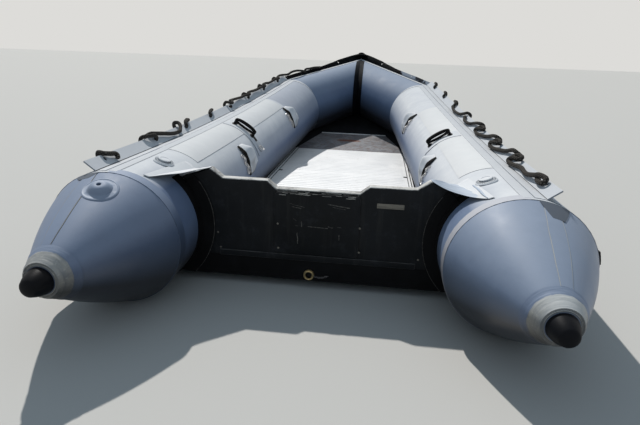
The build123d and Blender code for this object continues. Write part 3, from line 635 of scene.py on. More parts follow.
# %% The rim at the bow
GREY_FROM_X = 0.40


def bow_rim_finish():
    mix = Recipe("bow_rim", roughness=0.85, Specular_IOR_Level=0.03)
    patches = mix.noise(7.0, 5.0, 0.65, distortion=0.5)
    black = mix.blend(mix.spread(patches, 0.4, 0.7), shade("0b0c0e"), shade("1c1e21"))
    fading = mix.times(mix.sum(mix.axis("X"), GREY_FROM_X, "SUBTRACT"), 0.9)
    folds = mix.noise(9.0, 2.0, 0.5, place=mix.scaled(1.4, 0.8, 1.0), distortion=0.4)
    # Painted shade: dark crease lines, with no crease in the geometry.
    painted_crease_shade = mix.spread(mix.sum(folds, fading, "SUBTRACT"), 0.35, 0.43)
    grey = mix.blend(painted_crease_shade, shade("2b2e33"), shade("929ba7"))
    ragged = mix.sum(mix.axis("X"), mix.times(patches, 0.05), "SUBTRACT")
    bare = mix.spread(ragged, GREY_FROM_X - 0.03, GREY_FROM_X - 0.02)
    pebbled = mix.bump(mix.noise(PEBBLE_SCALE, 2.0), 0.0006, 0.4)
    return mix.done(mix.blend(bare, black, grey), normal=pebbled)


BOW_RIM = bow_rim_finish()
print("grey from x", GREY_FROM_X, "m")

# %% [markdown]
# A CAD node whose shape is right keeps it and only gets its finish, by the name of the
# slot that the record gives it, unless one node wants a variant of that finish.

# %% Finish the CAD nodes
FINISH_BY_SLOT = {
    "tube_fabric": TUBE_FABRIC,
    "matte_patch": MATTE_PATCH,
    "glued_band": GLUED_BAND,
    "black_rubber": BLACK_RUBBER,
    "black_webbing": WEBBING_BLACK,
    "painted_ply": PAINTED_PLY,
    "aluminium": FLOOR_METAL,
    "bow_board_ply": BOW_BOARD,
    "steel": STEEL,
    "plate_metal": PLATE_METAL,
    "brass": BRASS,
}
FINISH_BY_NODE = {
    "side_flange": FLANGE_FABRIC,
    "hull_bottom": BOTTOM_FABRIC,
    "cone_cap": CAP_RUBBER,
    "nose_tape": NOSE_RUBBER,
    "stern_cone": CONE_FABRIC,
    "stern_cone_port": SHADED_PORT_CONE,
    "cone_band_port": SHADED_PORT_BAND,
    "transom_web": PATCH_CLOTH,
    "bow_tube": SHADED_BOW_FABRIC,
}
slot_of = {row["node"]: row["material_slot"] for row in frame["record"]["subparts"]}
for name, node in nodes.items():
    family = name.removesuffix("_port").removesuffix("_starboard")
    finish = FINISH_BY_NODE.get(name) or FINISH_BY_NODE.get(family) or FINISH_BY_SLOT[slot_of[name]]
    node.data.materials.clear()
    node.data.materials.append(finish)
print("finished", len(nodes), "nodes")

# %% [markdown]
# ## Seams and tapes
# The tubes are glued from panels, and every joint is covered by a tape. A tape is drawn
# flat, as wide as it is on the bench, and a helper then lays it on the skin: its X runs
# round the tube, its Y along the tube and its Z out of it. That way one grid operator
# makes every tape, whatever it lies on.

# %% Lay flat shapes on the skin
def laid_on(shape, place_at):
    """Move each vertex to its place: x along the arc, y forward and z outwards, in metres."""
    for vert in shape.verts:
        vert.co = place_at(vert.co.y, vert.co.x / TUBE_RADIUS, vert.co.z)
    bmesh.ops.recalc_face_normals(shape, faces=shape.faces)
    return shape


def on_tube(forward, angle, height):
    radial = Vector((sin(angle), 0, cos(angle))) * (TUBE_RADIUS + height)
    return tube_place(forward) @ radial


def tree_of(node):
    mesh = nodes[node].data
    places = [vert.co for vert in mesh.vertices]
    return BVHTree.FromPolygons(places, [face.vertices for face in mesh.polygons])


def cone_centre(aft):
    """A point on the cone's axis; aft is nought at the seam and negative behind it."""
    share = min(max(-aft, 0.0) / CONE_LENGTH, 1.0)
    return Vector((HALF_CENTRES, TRANSOM_Y + CONE_SEAM_Y + aft, TUBE_RADIUS + TIP_RISE * share))


RAY_START = 0.4
cone_tree = tree_of("stern_cone_starboard")


def on_cone(aft, angle, height):
    """On the stern cone: a ray from outside finds its skin."""
    centre = cone_centre(aft)
    out = Vector((sin(angle), 0, cos(angle)))
    hit = cone_tree.ray_cast(centre + out * RAY_START, -out)[0]
    return (hit or centre + out * 0.05) + out * height


def flat_tape(around, along, height=0.0003, thickness=FABRIC, around_steps=48, along_steps=2):
    """A tape between two arc lengths and between two distances, closed on all sides."""
    shape = bmesh.new()
    bmesh.ops.create_grid(shape, x_segments=around_steps, y_segments=along_steps, size=0.5)
    bmesh.ops.scale(shape, vec=(around[1] - around[0], along[1] - along[0], 1), verts=shape.verts)
    bmesh.ops.translate(shape, vec=(sum(around) / 2, sum(along) / 2, height), verts=shape.verts)
    out = bmesh.ops.extrude_face_region(shape, geom=shape.faces[:])["geom"]
    bmesh.ops.translate(shape, vec=(0, 0, thickness), verts=verts_in(out))
    return shape


def arc(degrees_round):
    """Arc length of an angle on the tube, in metres."""
    return radians(degrees_round) * TUBE_RADIUS


print("arc of ten degrees", round(arc(10), 4), "m")

# %% [markdown]
# A ring tape covers the joint between cone and tube, and another the joint at the kink.
# Each runs from the foot of the flange round the bottom and back up to its other side.
# Beside the collar a thin black tape lies under the web: painted shade, for the web's
# shadow on the tube.

# %% Ring tapes
RING_TAPE = 0.048
SIDE_SPAN = (arc(24), arc(362))

cone_ring = flat_tape(SIDE_SPAN, (CONE_SEAM_Y, CONE_SEAM_Y + RING_TAPE))
kink_ring = flat_tape((arc(95), arc(362)), (KINK_Y - 0.05, KINK_Y - 0.012))
cone_top = flat_tape((arc(0), arc(26)), (CONE_SEAM_Y, CONE_SEAM_Y + 0.018))
# Painted shade: a black tape where the web shadows the tube.
web_shadow_strip = flat_tape((arc(-49.5), arc(-38)), (-0.055, 0.006), 0.0004, 0.002, 8, 4)
# To port the tape takes the port cone's painted-shade finish.
made_twice("cone_ring_tape", laid_on(cone_ring, on_tube), RING_FABRIC,
           port_finish=SHADED_PORT_CONE)
made_twice("kink_ring_tape", laid_on(kink_ring, on_tube), FLANGE_FABRIC)
made_twice("cone_top_tape", laid_on(cone_top, on_tube), FLANGE_FABRIC)
made_twice("web_shadow_tape", laid_on(web_shadow_strip, on_tube), BLACK_RUBBER)
print("ring tapes", RING_TAPE, "m wide")

# %% [markdown]
# The cone is rolled from one panel, so a long tape runs from its wide end to the band at
# its tip, in line with the foot of the flange. Its edge wanders a little where it was
# trimmed by hand. A wider, thinner film of glue shows beside it. To starboard the film is
# painted paler, as sunlight, and to port the tape takes the port cone's painted shade.

# %% Cone seams
CONE_SEAM_LENGTH = 0.335


def tapering(shape, full_width):
    """Narrow a tape towards the tip, and let its edges wander."""
    for vert in shape.verts:
        share = -vert.co.y / CONE_SEAM_LENGTH
        wander = 0.0012 * noise.noise(Vector((vert.co.x * 40, vert.co.y * 16, full_width * 50)))
        local = 1 + 2.0 * share
        vert.co.x = arc(FLANGE_ANGLE) + (vert.co.x * (1 - 0.25 * share) + wander) * local
    return shape


for name, width, height, finish, port_finish in (
    ("cone_seam_glue", 0.0435, 0.0003, SUNLIT_GLUE, GLUE_FILM),
    ("cone_seam_tape", 0.04, 0.0007, CONE_FABRIC, SHADED_PORT_CONE),
):
    flat = flat_tape((-width / 2, width / 2), (-CONE_SEAM_LENGTH, -0.002), height, 0.0012, 6, 30)
    seam = laid_on(tapering(flat, width), on_cone)
    made_twice(name, seam, finish, port_finish=port_finish)
print("cone seams", CONE_SEAM_LENGTH, "m long")

# %% [markdown]
# The flange has a wide foot that is glued to the top of the tube, and inboard of it a
# second tape runs the length of the boat. Aft of the seam the foot ends in a tab on the
# cone, cut to a point: a long one to starboard and a short one to port.

# %% Foot tape and tail tab
FOOT_TAPE = (arc(-5.5), arc(3.3))
PATCH_STEP = 0.0016


def over_patch(forward, angle, height):
    """On the tube, and over the wear patch where that lies under the tape."""
    onto = min(max((forward - PATCH_SPAN[0]) / 0.01, 0), 1)
    off = min(max((PATCH_SPAN[1] - forward) / 0.01, 0), 1)
    return on_tube(forward, angle, height + PATCH_STEP * (onto * off))


foot_tape = flat_tape(FOOT_TAPE, (CONE_SEAM_Y + 0.02, KINK_Y - 0.03), 0.0004, 0.0013, 6, 130)
made_twice("foot_tape", laid_on(foot_tape, over_patch), FLANGE_FABRIC)


def tail_tab(length, width):
    tab = flat_tape((-width / 2, width / 2), (-length, 0.0), 0.0008, 0.0016, 8, 12)
    for vert in tab.verts:
        share = max(-vert.co.y, 0) / length
        vert.co.x = arc(17) + vert.co.x * (1 - 0.55 * share ** 1.6)
    return laid_on(tab, on_cone)


made("flange_tail_tab_starboard", tail_tab(0.082, 0.1), TAIL_FABRIC)
made("flange_tail_tab_port", mirrored(tail_tab(0.034, 0.085)), TAIL_FABRIC)
print("foot tape", round(FOOT_TAPE[1] - FOOT_TAPE[0], 4), "m wide")

# %% [markdown]
# Round each stern tip three bands were glued over one another. Each is a ring of tape,
# closed where its ends meet, a little narrower than the one below. Two noises move its
# fore edge, because such bands are cut by hand and the glue runs out from under them.

# %% Layered bands
BAND_LAYERS = ((0.040, 0.0040), (0.027, 0.0062), (0.014, 0.0084))
BAND_THICKNESS = 0.0032
band_tree = tree_of("cone_band_starboard")


def on_band(aft, angle, height):
    """On the outside of the CAD band, or on the cone where the band has ended."""
    centre = cone_centre(aft)
    out = Vector((sin(angle), 0, cos(angle)))
    start = centre + out * RAY_START + Vector((0.00007, 0, 0.00005))
    hit = band_tree.ray_cast(start, -out)[0] or cone_tree.ray_cast(start, -out)[0]
    return (hit or centre + out * 0.045) + out * height


def ragged_ring(width, height, seed):
    fore, aft = -CONE_LENGTH + width, -CONE_LENGTH + 0.001
    ring = flat_tape((0, 2 * pi * TUBE_RADIUS), (aft, fore), height - BAND_THICKNESS, 0.0014, 96, 3)
    ends = [face for face in ring.faces if len({round(vert.co.x, 5) for vert in face.verts}) == 1]
    bmesh.ops.delete(ring, geom=ends, context="FACES_ONLY")
    for vert in ring.verts:
        angle = vert.co.x / TUBE_RADIUS
        if vert.co.y > -CONE_LENGTH + 0.01:
            vert.co.y += 0.004 * noise.noise(Vector((cos(angle) * 3, sin(angle) * 3, seed)))
            vert.co.y += 0.0016 * noise.noise(Vector((cos(angle) * 11, sin(angle) * 11, seed + 5)))
    ring = laid_on(ring, on_band)
    bmesh.ops.remove_doubles(ring, verts=ring.verts, dist=1e-5)
    bmesh.ops.recalc_face_normals(ring, faces=ring.faces)
    return ring


layers = [ragged_ring(width, height, seed) for seed, (width, height) in enumerate(BAND_LAYERS)]
made_twice("band_layers", merged(*layers), GLUED_BAND, port_finish=SHADED_PORT_BAND)
print("band layers", len(BAND_LAYERS))

# %% [markdown]
# A moulded cap closes each tip. Like every round fitting here it is turned: a half
# outline of radius and height pairs is spun once round Z, and the result is then tipped
# into its place. The outline has a short skirt, a side that leans in, a rounded crease,
# and a low dome on the end where it drags on the ground.

# %% Caps on the tips
TURN_STEPS = 40


def spun(outline, steps=TURN_STEPS):
    """A round piece about Z from pairs of radius and height, first and last on the axis."""
    shape = bmesh.new()
    points = [shape.verts.new((radius, 0, height)) for radius, height in outline]
    edges = [shape.edges.new(pair) for pair in zip(points[:-1], points[1:])]
    bmesh.ops.spin(shape, geom=points + edges, cent=(0, 0, 0), axis=(0, 0, 1), angle=2 * pi,
                   steps=steps, use_merge=True)
    bmesh.ops.remove_doubles(shape, verts=shape.verts, dist=1e-5)
    bmesh.ops.recalc_face_normals(shape, faces=shape.faces)
    return shape


CAP_OUTLINE = [(0, 0.0590), (0.009, 0.0586), (0.018, 0.0570), (0.0245, 0.0540), (0.0275, 0.0505),
               (0.0345, 0.0350), (0.0395, 0.0190), (0.0420, 0.0060), (0.0428, 0.0),
               (0.0428, -0.003), (0, -0.003)]


def facing_aft(x, height, y):
    """A place whose Z points aft."""
    return tipped(Matrix.Translation((x, y, height)), 90, "X")


cap = moved(spun(CAP_OUTLINE, 48), facing_aft(HALF_CENTRES, TUBE_RADIUS + TIP_RISE, TIP_Y))
made_twice("cone_cap_dressed", cap, CAP_RUBBER, ["cone_cap"])
print("cap length", CAP_OUTLINE[0][1], "m")

# %% [markdown]
# ## Boards
# No edge of a used board is sharp. Each board is copied from its CAD solid, its loose
# triangles are joined back into whole faces, and its edges get a narrow bevel. The new
# faces carry the attribute worn, which the paint reads to show bare wood.

# %% Softened boards
def soften(shape, width, angle=30):
    """Bevel the edges that are sharper than an angle; returns the new faces."""
    sharp = [edge for edge in shape.edges
             if len(edge.link_faces) == 2 and edge.calc_face_angle(0) > radians(angle)]
    return bmesh.ops.bevel(shape, geom=sharp, offset=width, segments=2, affect="EDGES", profile=0.5,
                           material=-1, clamp_overlap=True)["faces"]


def copy_of(node, width=0.0):
    """A CAD solid as one closed bmesh with large faces and, with a width, softened edges."""
    shape = bmesh.new()
    shape.from_mesh(nodes[node].data)
    bmesh.ops.remove_doubles(shape, verts=shape.verts, dist=1e-5)
    bmesh.ops.dissolve_limit(shape, angle_limit=radians(1), verts=shape.verts, edges=shape.edges)
    if width:
        worn = shape.loops.layers.float.new("worn")
        for face in soften(shape, width):
            for corner in face.loops:
                corner[worn] = 1.0
        bmesh.ops.triangulate(shape, faces=[face for face in shape.faces if len(face.verts) > 4])
    return shape


for node, width, finish, slot in (
    ("transom_board", 0.005, PAINTED_PLY, "painted_ply"),
    ("motor_pad", 0.002, PAINTED_PAD, "painted_ply"),
    ("transom_batten", 0.0016, PAINTED_TRIM, "painted_ply"),
    ("blank_plate", 0.0006, PLATE_METAL, "plate_metal"),
    ("bow_board", 0.003, BOW_BOARD, "bow_board_ply"),
    ("bow_board_bar", 0.003, FLOOR_METAL, "aluminium"),
):
    made(f"{node}_dressed", copy_of(node, width), finish, [node])
print("boards softened")

# %% [markdown]
# Pan head screws hold the pad and the trim. One screw is turned from a half outline,
# and copies of it are put at their places on the transom's aft face.

# %% Screws on the transom
PAD_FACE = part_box("motor_pad")[0].y
PAD_TOP = 0.405
SCREW = [(0, 0.0022), (0.0022, 0.002), (0.0042, 0.001), (0.0046, 0.0), (0.0046, -0.001), (0, -0.001)]
PAD_SCREWS = ((-0.155, 0.274), (-0.152, 0.171), (0.170, 0.278), (0.172, 0.177))
BOARD_SCREWS = ((-0.403, 0.216), (-0.393, 0.152), (0.405, 0.162))
heads = []
for places, face in ((PAD_SCREWS, PAD_FACE), (BOARD_SCREWS, TRANSOM_Y)):
    heads += [moved(spun(SCREW, 12), facing_aft(x, height, face)) for x, height in places]
made("transom_screws", merged(*heads), PLATE_METAL)
print("screws", len(heads))

# %% [markdown]
# The motor's clamps and bracket have chipped the paint of the pad in a few short lines.
# Each chip is a sliver of the pale layer below: a wandering line, extruded sideways and
# given a thickness. Along the notch the bracket has rubbed through to the wood, and those
# marks are scattered by a seeded random number, closer together towards the edge.

# %% Chips in the paint
CHIPS = (
    ((-0.108, 0.361), (-0.049, 0.348)), ((-0.100, 0.349), (-0.062, 0.343)),
    ((0.041, 0.367), (0.127, 0.357)), ((0.060, 0.357), (0.112, 0.350)),
    ((-0.035, 0.271), (0.045, 0.268)), ((0.046, 0.276), (0.064, 0.272)),
    ((0.082, 0.277), (0.098, 0.275)), ((-0.083, 0.272), (-0.074, 0.270)),
    ((-0.076, 0.242), (-0.073, 0.195)), ((-0.094, 0.300), (-0.080, 0.292)),
    ((0.090, 0.246), (0.091, 0.222)), ((-0.060, 0.290), (-0.059, 0.268)),
)
RUB_COUNT = 26
RUBS_TOP = 0.4085
CHIP_STEPS = 8


def strip(points, across, thickness):
    """A tape along a line of points, as wide as the vector across, with its wall centred."""
    shape = bmesh.new()
    verts = [shape.verts.new(Vector(point) - across / 2) for point in points]
    edges = [shape.edges.new(pair) for pair in zip(verts[:-1], verts[1:])]
    out = bmesh.ops.extrude_edge_only(shape, edges=edges)["geom"]
    bmesh.ops.translate(shape, vec=across, verts=verts_in(out))
    bmesh.ops.recalc_face_normals(shape, faces=shape.faces)
    bmesh.ops.solidify(shape, geom=all_of(shape), thickness=thickness)
    return shape


def chip(start, end, seed, face=PAD_FACE):
    steep = abs(end[1] - start[1]) > abs(end[0] - start[0])
    points = []
    for step in range(CHIP_STEPS + 1):
        share = step / CHIP_STEPS
        wander = 0.0016 * noise.noise(Vector((share * 4, seed * 3.7, 0)))
        points.append((start[0] + (end[0] - start[0]) * share + wander * steep, face - 0.0002,
                       start[1] + (end[1] - start[1]) * share + wander * (not steep)))
    width = 0.0014 + 0.001 * (seed % 3)
    return strip(points, Vector((width, 0, 0)) if steep else Vector((0, 0, width)), 0.0003)


chips = [chip(*ends, seed) for seed, ends in enumerate(CHIPS)]
made("transom_chips", merged(*chips), CHIPPED_PAINT)
chance = random.Random(5)
rubs = []
for seed in range(RUB_COUNT):
    middle, half = chance.uniform(-0.145, 0.145), chance.uniform(0.006, 0.022)
    height = RUBS_TOP - 0.016 * chance.random() ** 2
    face = TRANSOM_Y if height > PAD_TOP else PAD_FACE
    rubs.append(chip((middle - half, height), (middle + half, height), seed, face))
made("notch_rubs", merged(*rubs), BARE_WOOD)
print("chips", len(chips), "rubs", len(rubs))

# %% [markdown]
# ## Valves and the pressure boss
# Each tube has a filling valve: a ribbed ring glued to the skin, with a screw cap that
# stands higher and is ribbed too. Ring and cap are one turned outline, and one small rib
# is copied round each of them like the hours of a clock.

# %% Tube valves
VALVE_Y = 0.034
VALVE_ANGLE = -20
VALVE_RING = [(0, -0.006), (0.042, -0.006), (0.042, 0.002), (0.040, 0.0045), (0.035, 0.0065),
              (0.027, 0.007), (0.0265, 0.005), (0.025, 0.005), (0.025, 0.014), (0.0235, 0.0152),
              (0.018, 0.0156), (0.017, 0.0142), (0, 0.0142)]
RING_RIBS = 30
CAP_RIBS = 18


def ribs_round(count, radius, length, width, height, rise):
    shape = bmesh.new()
    bmesh.ops.create_cube(shape, size=1)
    bmesh.ops.scale(shape, vec=(length, width, height), verts=shape.verts)
    bmesh.ops.translate(shape, vec=(radius, 0, rise), verts=shape.verts)
    bmesh.ops.spin(shape, geom=all_of(shape), cent=(0, 0, 0), axis=(0, 0, 1),
                   angle=2 * pi * (count - 1) / count, steps=count - 1, use_duplicate=True)
    return shape


valve = merged(spun(VALVE_RING), ribs_round(RING_RIBS, 0.0325, 0.009, 0.0022, 0.003, 0.0064),
               ribs_round(CAP_RIBS, 0.0252, 0.0016, 0.003, 0.008, 0.0098))
valve = moved(valve, skin_place(VALVE_Y, VALVE_ANGLE))
made_twice("tube_valve_dressed", valve, PATCH_CLOTH, ["tube_valve"])
print("valve ribs", RING_RIBS, "and", CAP_RIBS)

# %% [markdown]
# The port cone carries a round patch with a raised rim and a domed boss, which has the
# pump port in its middle. All of it is one turned outline, hole included. The patch is
# supple, so its vertices are then dropped on the cone's skin along the boss's axis.

# %% Boss on the port cone
BOSS_PLACE = Vector((-0.692175, TRANSOM_Y - 0.331, 0.467164))
BOSS_NORMAL = Vector((0.100942, -0.343349, 0.933768))
BOSS_EDGE = 0.062
BOSS_OUTLINE = [(0.0, 0.006), (0.0068, 0.006), (0.007, 0.0075), (0.007, 0.0185), (0.0085, 0.0205),
                (0.014, 0.0212), (0.024, 0.0186), (0.031, 0.0130), (0.036, 0.0070), (0.039, 0.0034),
                (0.0415, 0.0018), (0.054, 0.0010), (0.0555, 0.0020), (0.0595, 0.0016),
                (BOSS_EDGE, -0.0010), (BOSS_EDGE, -0.008), (0.0, -0.008)]
BOSS_DOME = 0.040
port_cone_tree = tree_of("stern_cone_port")
boss = spun(BOSS_OUTLINE, 64)
boss_turn = BOSS_NORMAL.to_track_quat("Z", "Y").to_matrix().to_4x4()
boss_place = Matrix.Translation(BOSS_PLACE) @ boss_turn
for vert in boss.verts:
    reach = hypot(vert.co.x, vert.co.y)
    height = vert.co.z
    vert.co = boss_place @ vert.co
    skin = port_cone_tree.ray_cast(vert.co + BOSS_NORMAL * 0.1, -BOSS_NORMAL)[0]
    if skin and height > -0.005 and reach > BOSS_DOME:
        vert.co = skin + BOSS_NORMAL * (height + 0.0012)
made("cone_boss_dressed", boss, CONE_FABRIC, ["cone_boss_port"])
print("boss", 2 * BOSS_EDGE, "m across")

# %% [markdown]
# ## Ropes and handles
# A rope is swept: a circle is extruded from each point of its route to the next, turned
# with the route and scaled to its radius. The side and the run of each corner are kept
# as a map, so that the braid follows the rope wherever it bends. The route itself is a
# smooth curve through a few control points.

# %% Sweep a rod along a route
CURVE_STEPS = 5


def swept(points, radii, sides=8):
    """A round rod through points; radii is one radius or one for each point."""
    if not hasattr(radii, "__len__"):
        radii = [radii] * len(points)
    shape = bmesh.new()
    side_of = shape.verts.layers.int.new("side")
    run_of = shape.verts.layers.float.new("run")
    ring = bmesh.ops.create_circle(shape, segments=sides, radius=1.0, cap_ends=True)["verts"]
    for index, vert in enumerate(ring):
        vert[side_of] = index
    last = len(points) - 1
    ahead_at = [(points[min(i + 1, last)] - points[max(i - 1, 0)]).normalized()
                for i in range(last + 1)]
    turn = Vector((0, 0, 1)).rotation_difference(ahead_at[0]).to_matrix()
    place = Matrix.Translation(points[0]) @ turn.to_4x4() @ Matrix.Scale(radii[0], 4)
    bmesh.ops.transform(shape, matrix=place, verts=ring)
    edges = list({edge for vert in ring for edge in vert.link_edges})
    run = 0.0
    for after in range(1, last + 1):
        run += (points[after] - points[after - 1]).length
        turn = ahead_at[after - 1].rotation_difference(ahead_at[after]).to_matrix() @ turn
        fresh = Matrix.Translation(points[after]) @ turn.to_4x4() @ Matrix.Scale(radii[after], 4)
        grown = bmesh.ops.extrude_edge_only(shape, edges=edges)["geom"]
        ring = verts_in(grown)
        edges = [item for item in grown if isinstance(item, bmesh.types.BMEdge)]
        bmesh.ops.transform(shape, matrix=fresh @ place.inverted(), verts=ring)
        for vert in ring:
            vert[run_of] = run
        place = fresh
    bmesh.ops.edgeloop_fill(shape, edges=edges)
    bmesh.ops.recalc_face_normals(shape, faces=shape.faces)
    weave = shape.loops.layers.uv.new("weave")
    for face in shape.faces:
        low = min(loop.vert[side_of] for loop in face.loops)
        for loop in face.loops:
            side = loop.vert[side_of]
            wrapped = low == 0 and side == sides - 1
            loop[weave].uv = ((side - sides if wrapped else side) / sides, loop.vert[run_of])
    return shape


def smoothed(controls):
    """Points on a curve that runs through all the control points."""
    last = len(controls) - 1
    points = []
    for index in range(last):
        a, b, c, d = (controls[min(max(index + k, 0), last)] for k in (-1, 0, 1, 2))
        bend = 2 * a - 5 * b + 4 * c - d
        twist = 3 * b - a - 3 * c + d
        for step in range(CURVE_STEPS):
            t = step / CURVE_STEPS
            points.append(0.5 * ((2 * b) + (c - a) * t + bend * t ** 2 + twist * t ** 3))
    points.append(controls[-1])
    return points


print("curve steps", CURVE_STEPS)

# %% [markdown]
# The drain at the transom's foot is a brass cup with a rubber bung, and a short dull
# chain keeps the bung. A chain link is one sweep round an oval, and every second link is
# turned. The chain hangs in a shallow curve, which a parabola gives well enough.

# %% Drain and chain
DRAIN_PLACE = (-0.025, 0.062)
CHAIN_SPAN = (-0.013, 0.053)
CHAIN_HEIGHT = 0.066
CHAIN_SAG = 0.012
LINK_COUNT = 10
CUP_OUTLINE = [(0, 0.002), (0.0125, 0.002), (0.0140, 0.0115), (0.0180, 0.0130), (0.0215, 0.0100),
               (0.0220, -0.0015), (0, -0.0015)]
BUNG_OUTLINE = [(0, 0.008), (0.009, 0.008), (0.0112, 0.0062), (0.0114, 0.0022), (0, 0.0022)]


def ring_of(place, radius, wire, stretch=1.0, steps=16):
    turns = [2 * pi * step / steps for step in range(steps + 1)]
    points = [place @ Vector((stretch * radius * cos(turn), radius * sin(turn), 0))
              for turn in turns]
    return swept(points, wire, 6)


drain_face = facing_aft(*DRAIN_PLACE, TRANSOM_Y - 0.0033)
cup = spun(CUP_OUTLINE)
bung = spun(BUNG_OUTLINE, 24)
links = []
for link in range(LINK_COUNT):
    share = (link + 0.5) / LINK_COUNT
    x = CHAIN_SPAN[0] + (CHAIN_SPAN[1] - CHAIN_SPAN[0]) * share
    sag = CHAIN_SAG * (1 - (2 * share - 1) ** 2)
    place = facing_aft(x, CHAIN_HEIGHT - sag, TRANSOM_Y - 0.0095)
    links.append(ring_of(tipped(place, 20 + 50 * (link % 2), "X"), 0.0040, 0.0012, 1.4, 10))
made("drain_plug_dressed", moved(cup, drain_face), BRASS, ["drain_plug"])
made("drain_bung", moved(bung, drain_face), BLACK_RUBBER)
made("drain_chain", merged(*links), DULL_STEEL)
print("chain links", LINK_COUNT)

# %% [markdown]
# The grab handle is a moulded rubber loop that bridges the round of the tube: a thick
# grip strand, a thinner strand beside it, and a foot under each end. One sweep round a
# flattened ring makes both strands, with a radius that grows on the grip's side. The port
# handle also has a strap that runs on down the tube to a ring patch.

# %% Grab handles
HANDLE_Y = 1.0
HANDLE_SPAN = (-48, -17)
PORT_STRAP = (-60, -49)
PORT_RING_ANGLE = -63
HANDLE_MIDDLE = sum(HANDLE_SPAN) / 2
HANDLE_REACH = TUBE_RADIUS * sin(radians(HANDLE_SPAN[1] - HANDLE_SPAN[0]) / 2)
LOOP_STEPS = 56
LOOP_HEIGHT = 0.0200
STRAND_OFFSET = 0.0088
STRAND_RADIUS = 0.0070
GRIP_SWELL = 0.0036
PATCH_TOP = 0.0036
STRAP_HALF = 0.011
FOOT_OUTLINE = [(0, 0.016), (0.006, 0.0155), (0.0085, 0.012), (0.010, 0.004), (0.017, 0.002),
                (0.019, 0), (0.019, -0.002), (0, -0.002)]
PATCH_OUTLINE = [(0, 0.0036), (0.030, 0.0036), (0.033, 0.0030), (0.034, 0.0008), (0, 0.0008)]


def handle_loop():
    place = skin_place(HANDLE_Y, HANDLE_MIDDLE)
    points, radii = [], []
    for step in range(LOOP_STEPS + 1):
        turn = 2 * pi * step / LOOP_STEPS
        lengthwise = max(-1, min(1, 1.12 * cos(turn)))
        rise = sin(turn)
        bow = 0.0015 * (1 - lengthwise ** 2)
        along = HANDLE_REACH * 0.97 * lengthwise
        height = LOOP_HEIGHT + STRAND_OFFSET * rise + bow
        points.append(place @ Vector((along, STRAND_OFFSET * rise, height)))
        radii.append(STRAND_RADIUS + GRIP_SWELL * max(rise, 0) * (1 - abs(lengthwise) ** 6))
    parts = [swept(points, radii, 10)]
    for angle in HANDLE_SPAN:
        foot = spun(FOOT_OUTLINE, 20)
        bmesh.ops.scale(foot, vec=(0.8, 1.4, 1), verts=foot.verts)
        inward = 1 if angle < HANDLE_MIDDLE else -1
        parts.append(moved(foot, skin_place(HANDLE_Y, angle + 1.5 * inward, PATCH_TOP)))
    return merged(*parts)


made("grab_handle_dressed_starboard", handle_loop(), BLACK_RUBBER,
     ["grab_handle_starboard"])
strap_arc = (arc(PORT_STRAP[0]), arc(PORT_STRAP[1]))
strap_width = (HANDLE_Y - STRAP_HALF, HANDLE_Y + STRAP_HALF)
tail = flat_tape(strap_arc, strap_width, PATCH_TOP, 0.003, 12, 2)
port_handle = mirrored(merged(handle_loop(), laid_on(tail, on_tube)))
made("grab_handle_dressed_port", port_handle, BLACK_RUBBER, ["grab_handle_port"])
ring_patch = moved(spun(PATCH_OUTLINE, 32), skin_place(HANDLE_Y, PORT_RING_ANGLE, 0.0028))
made("port_ring_patch", mirrored(ring_patch), FLANGE_FABRIC)
ring_place = tipped(skin_place(HANDLE_Y, PORT_RING_ANGLE - 3, 0.0125), 24)
made("port_patch_ring", mirrored(ring_of(ring_place, 0.017, 0.0026, 1.0, 24)), STEEL)
print("handle reach", round(2 * HANDLE_REACH, 3), "m")

# %% [markdown]
# The lifeline is one soft rope that is laced along the flange. To starboard it runs along
# the root of the blade, folds back over itself beside each hole, goes down through the
# hole and comes up round the edge, which leaves a thick lump at each one. To port
# it stands in an arch at each hole and runs out of sight below the blade, or hugs the edge
# further forward, and its last bight lies on the bow flange. Real lacing is never even,
# so a seeded random number moves every point that isn't in a hole.
#
# Each route below is a list of control points for one hole: millimetres forward of the
# hole, outward across the blade from its root, and above the blade.

# %% Routes of the lacing
ROPE_RADIUS = 0.0094
HOLE_PITCH = 0.35
FIRST_HOLE = -0.025
HOLE_OFFSET = 30
UP_THROUGH = [(0, HOLE_OFFSET, -14), (0, HOLE_OFFSET, 12)]
DOWN_THROUGH = [(0, HOLE_OFFSET, 10), (0, HOLE_OFFSET, -14)]
ARCH = [
    *UP_THROUGH, (4, 42, 15), (24, 53, 16), (50, 57, 16), (74, 58, 13), (88, 67, 0), (82, 54, -15),
]
UNDER = [(190, 42, -15), (270, 35, -15), (325, 31, -16)]
STARBOARD_START = [
    (0, 30, -20), (0, 30, -2), (-8, 28, 12), (-28, 22, 14), (-54, 19, 14), (-76, 23, 14),
    (-84, 35, 15), (-68, 43, 18), (-34, 36, 27), (10, 24, 23), (87, 17, 14),
]
STARBOARD_LUMP = [
    (-173, 19, 13), (-90, 7, 13), (-40, 6, 14), (-24, 14, 21), (-46, 24, 28), (-74, 33, 24),
    (-86, 43, 17), (-70, 53, 14), (-44, 51, 17), (-18, 41, 18), *DOWN_THROUGH, (14, 46, -16),
    (22, 65, -5), (20, 60, 13), (48, 50, 24), (120, 34, 15),
]
STARBOARD_FLAT = [
    (-173, 19, 13), (-90, 9, 13), (-44, 18, 14), (-24, 27, 17), *DOWN_THROUGH, (14, 46, -16),
    (24, 65, -5), (28, 58, 13), (60, 38, 16), (120, 14, 14), (240, 8, 13), (300, 14, 16),
    (335, 26, 18),
]
PORT_START = [
    (-30, 7, 13), (-25, 20, 14), (-32, 30, 15), (-48, 34, 15), (-62, 40, 14), (-72, 50, 12),
    (-70, 65, 0), (-68, 52, -15), (-10, 40, -15), (90, 36, -15), (190, 40, -15), (250, 52, -14),
]
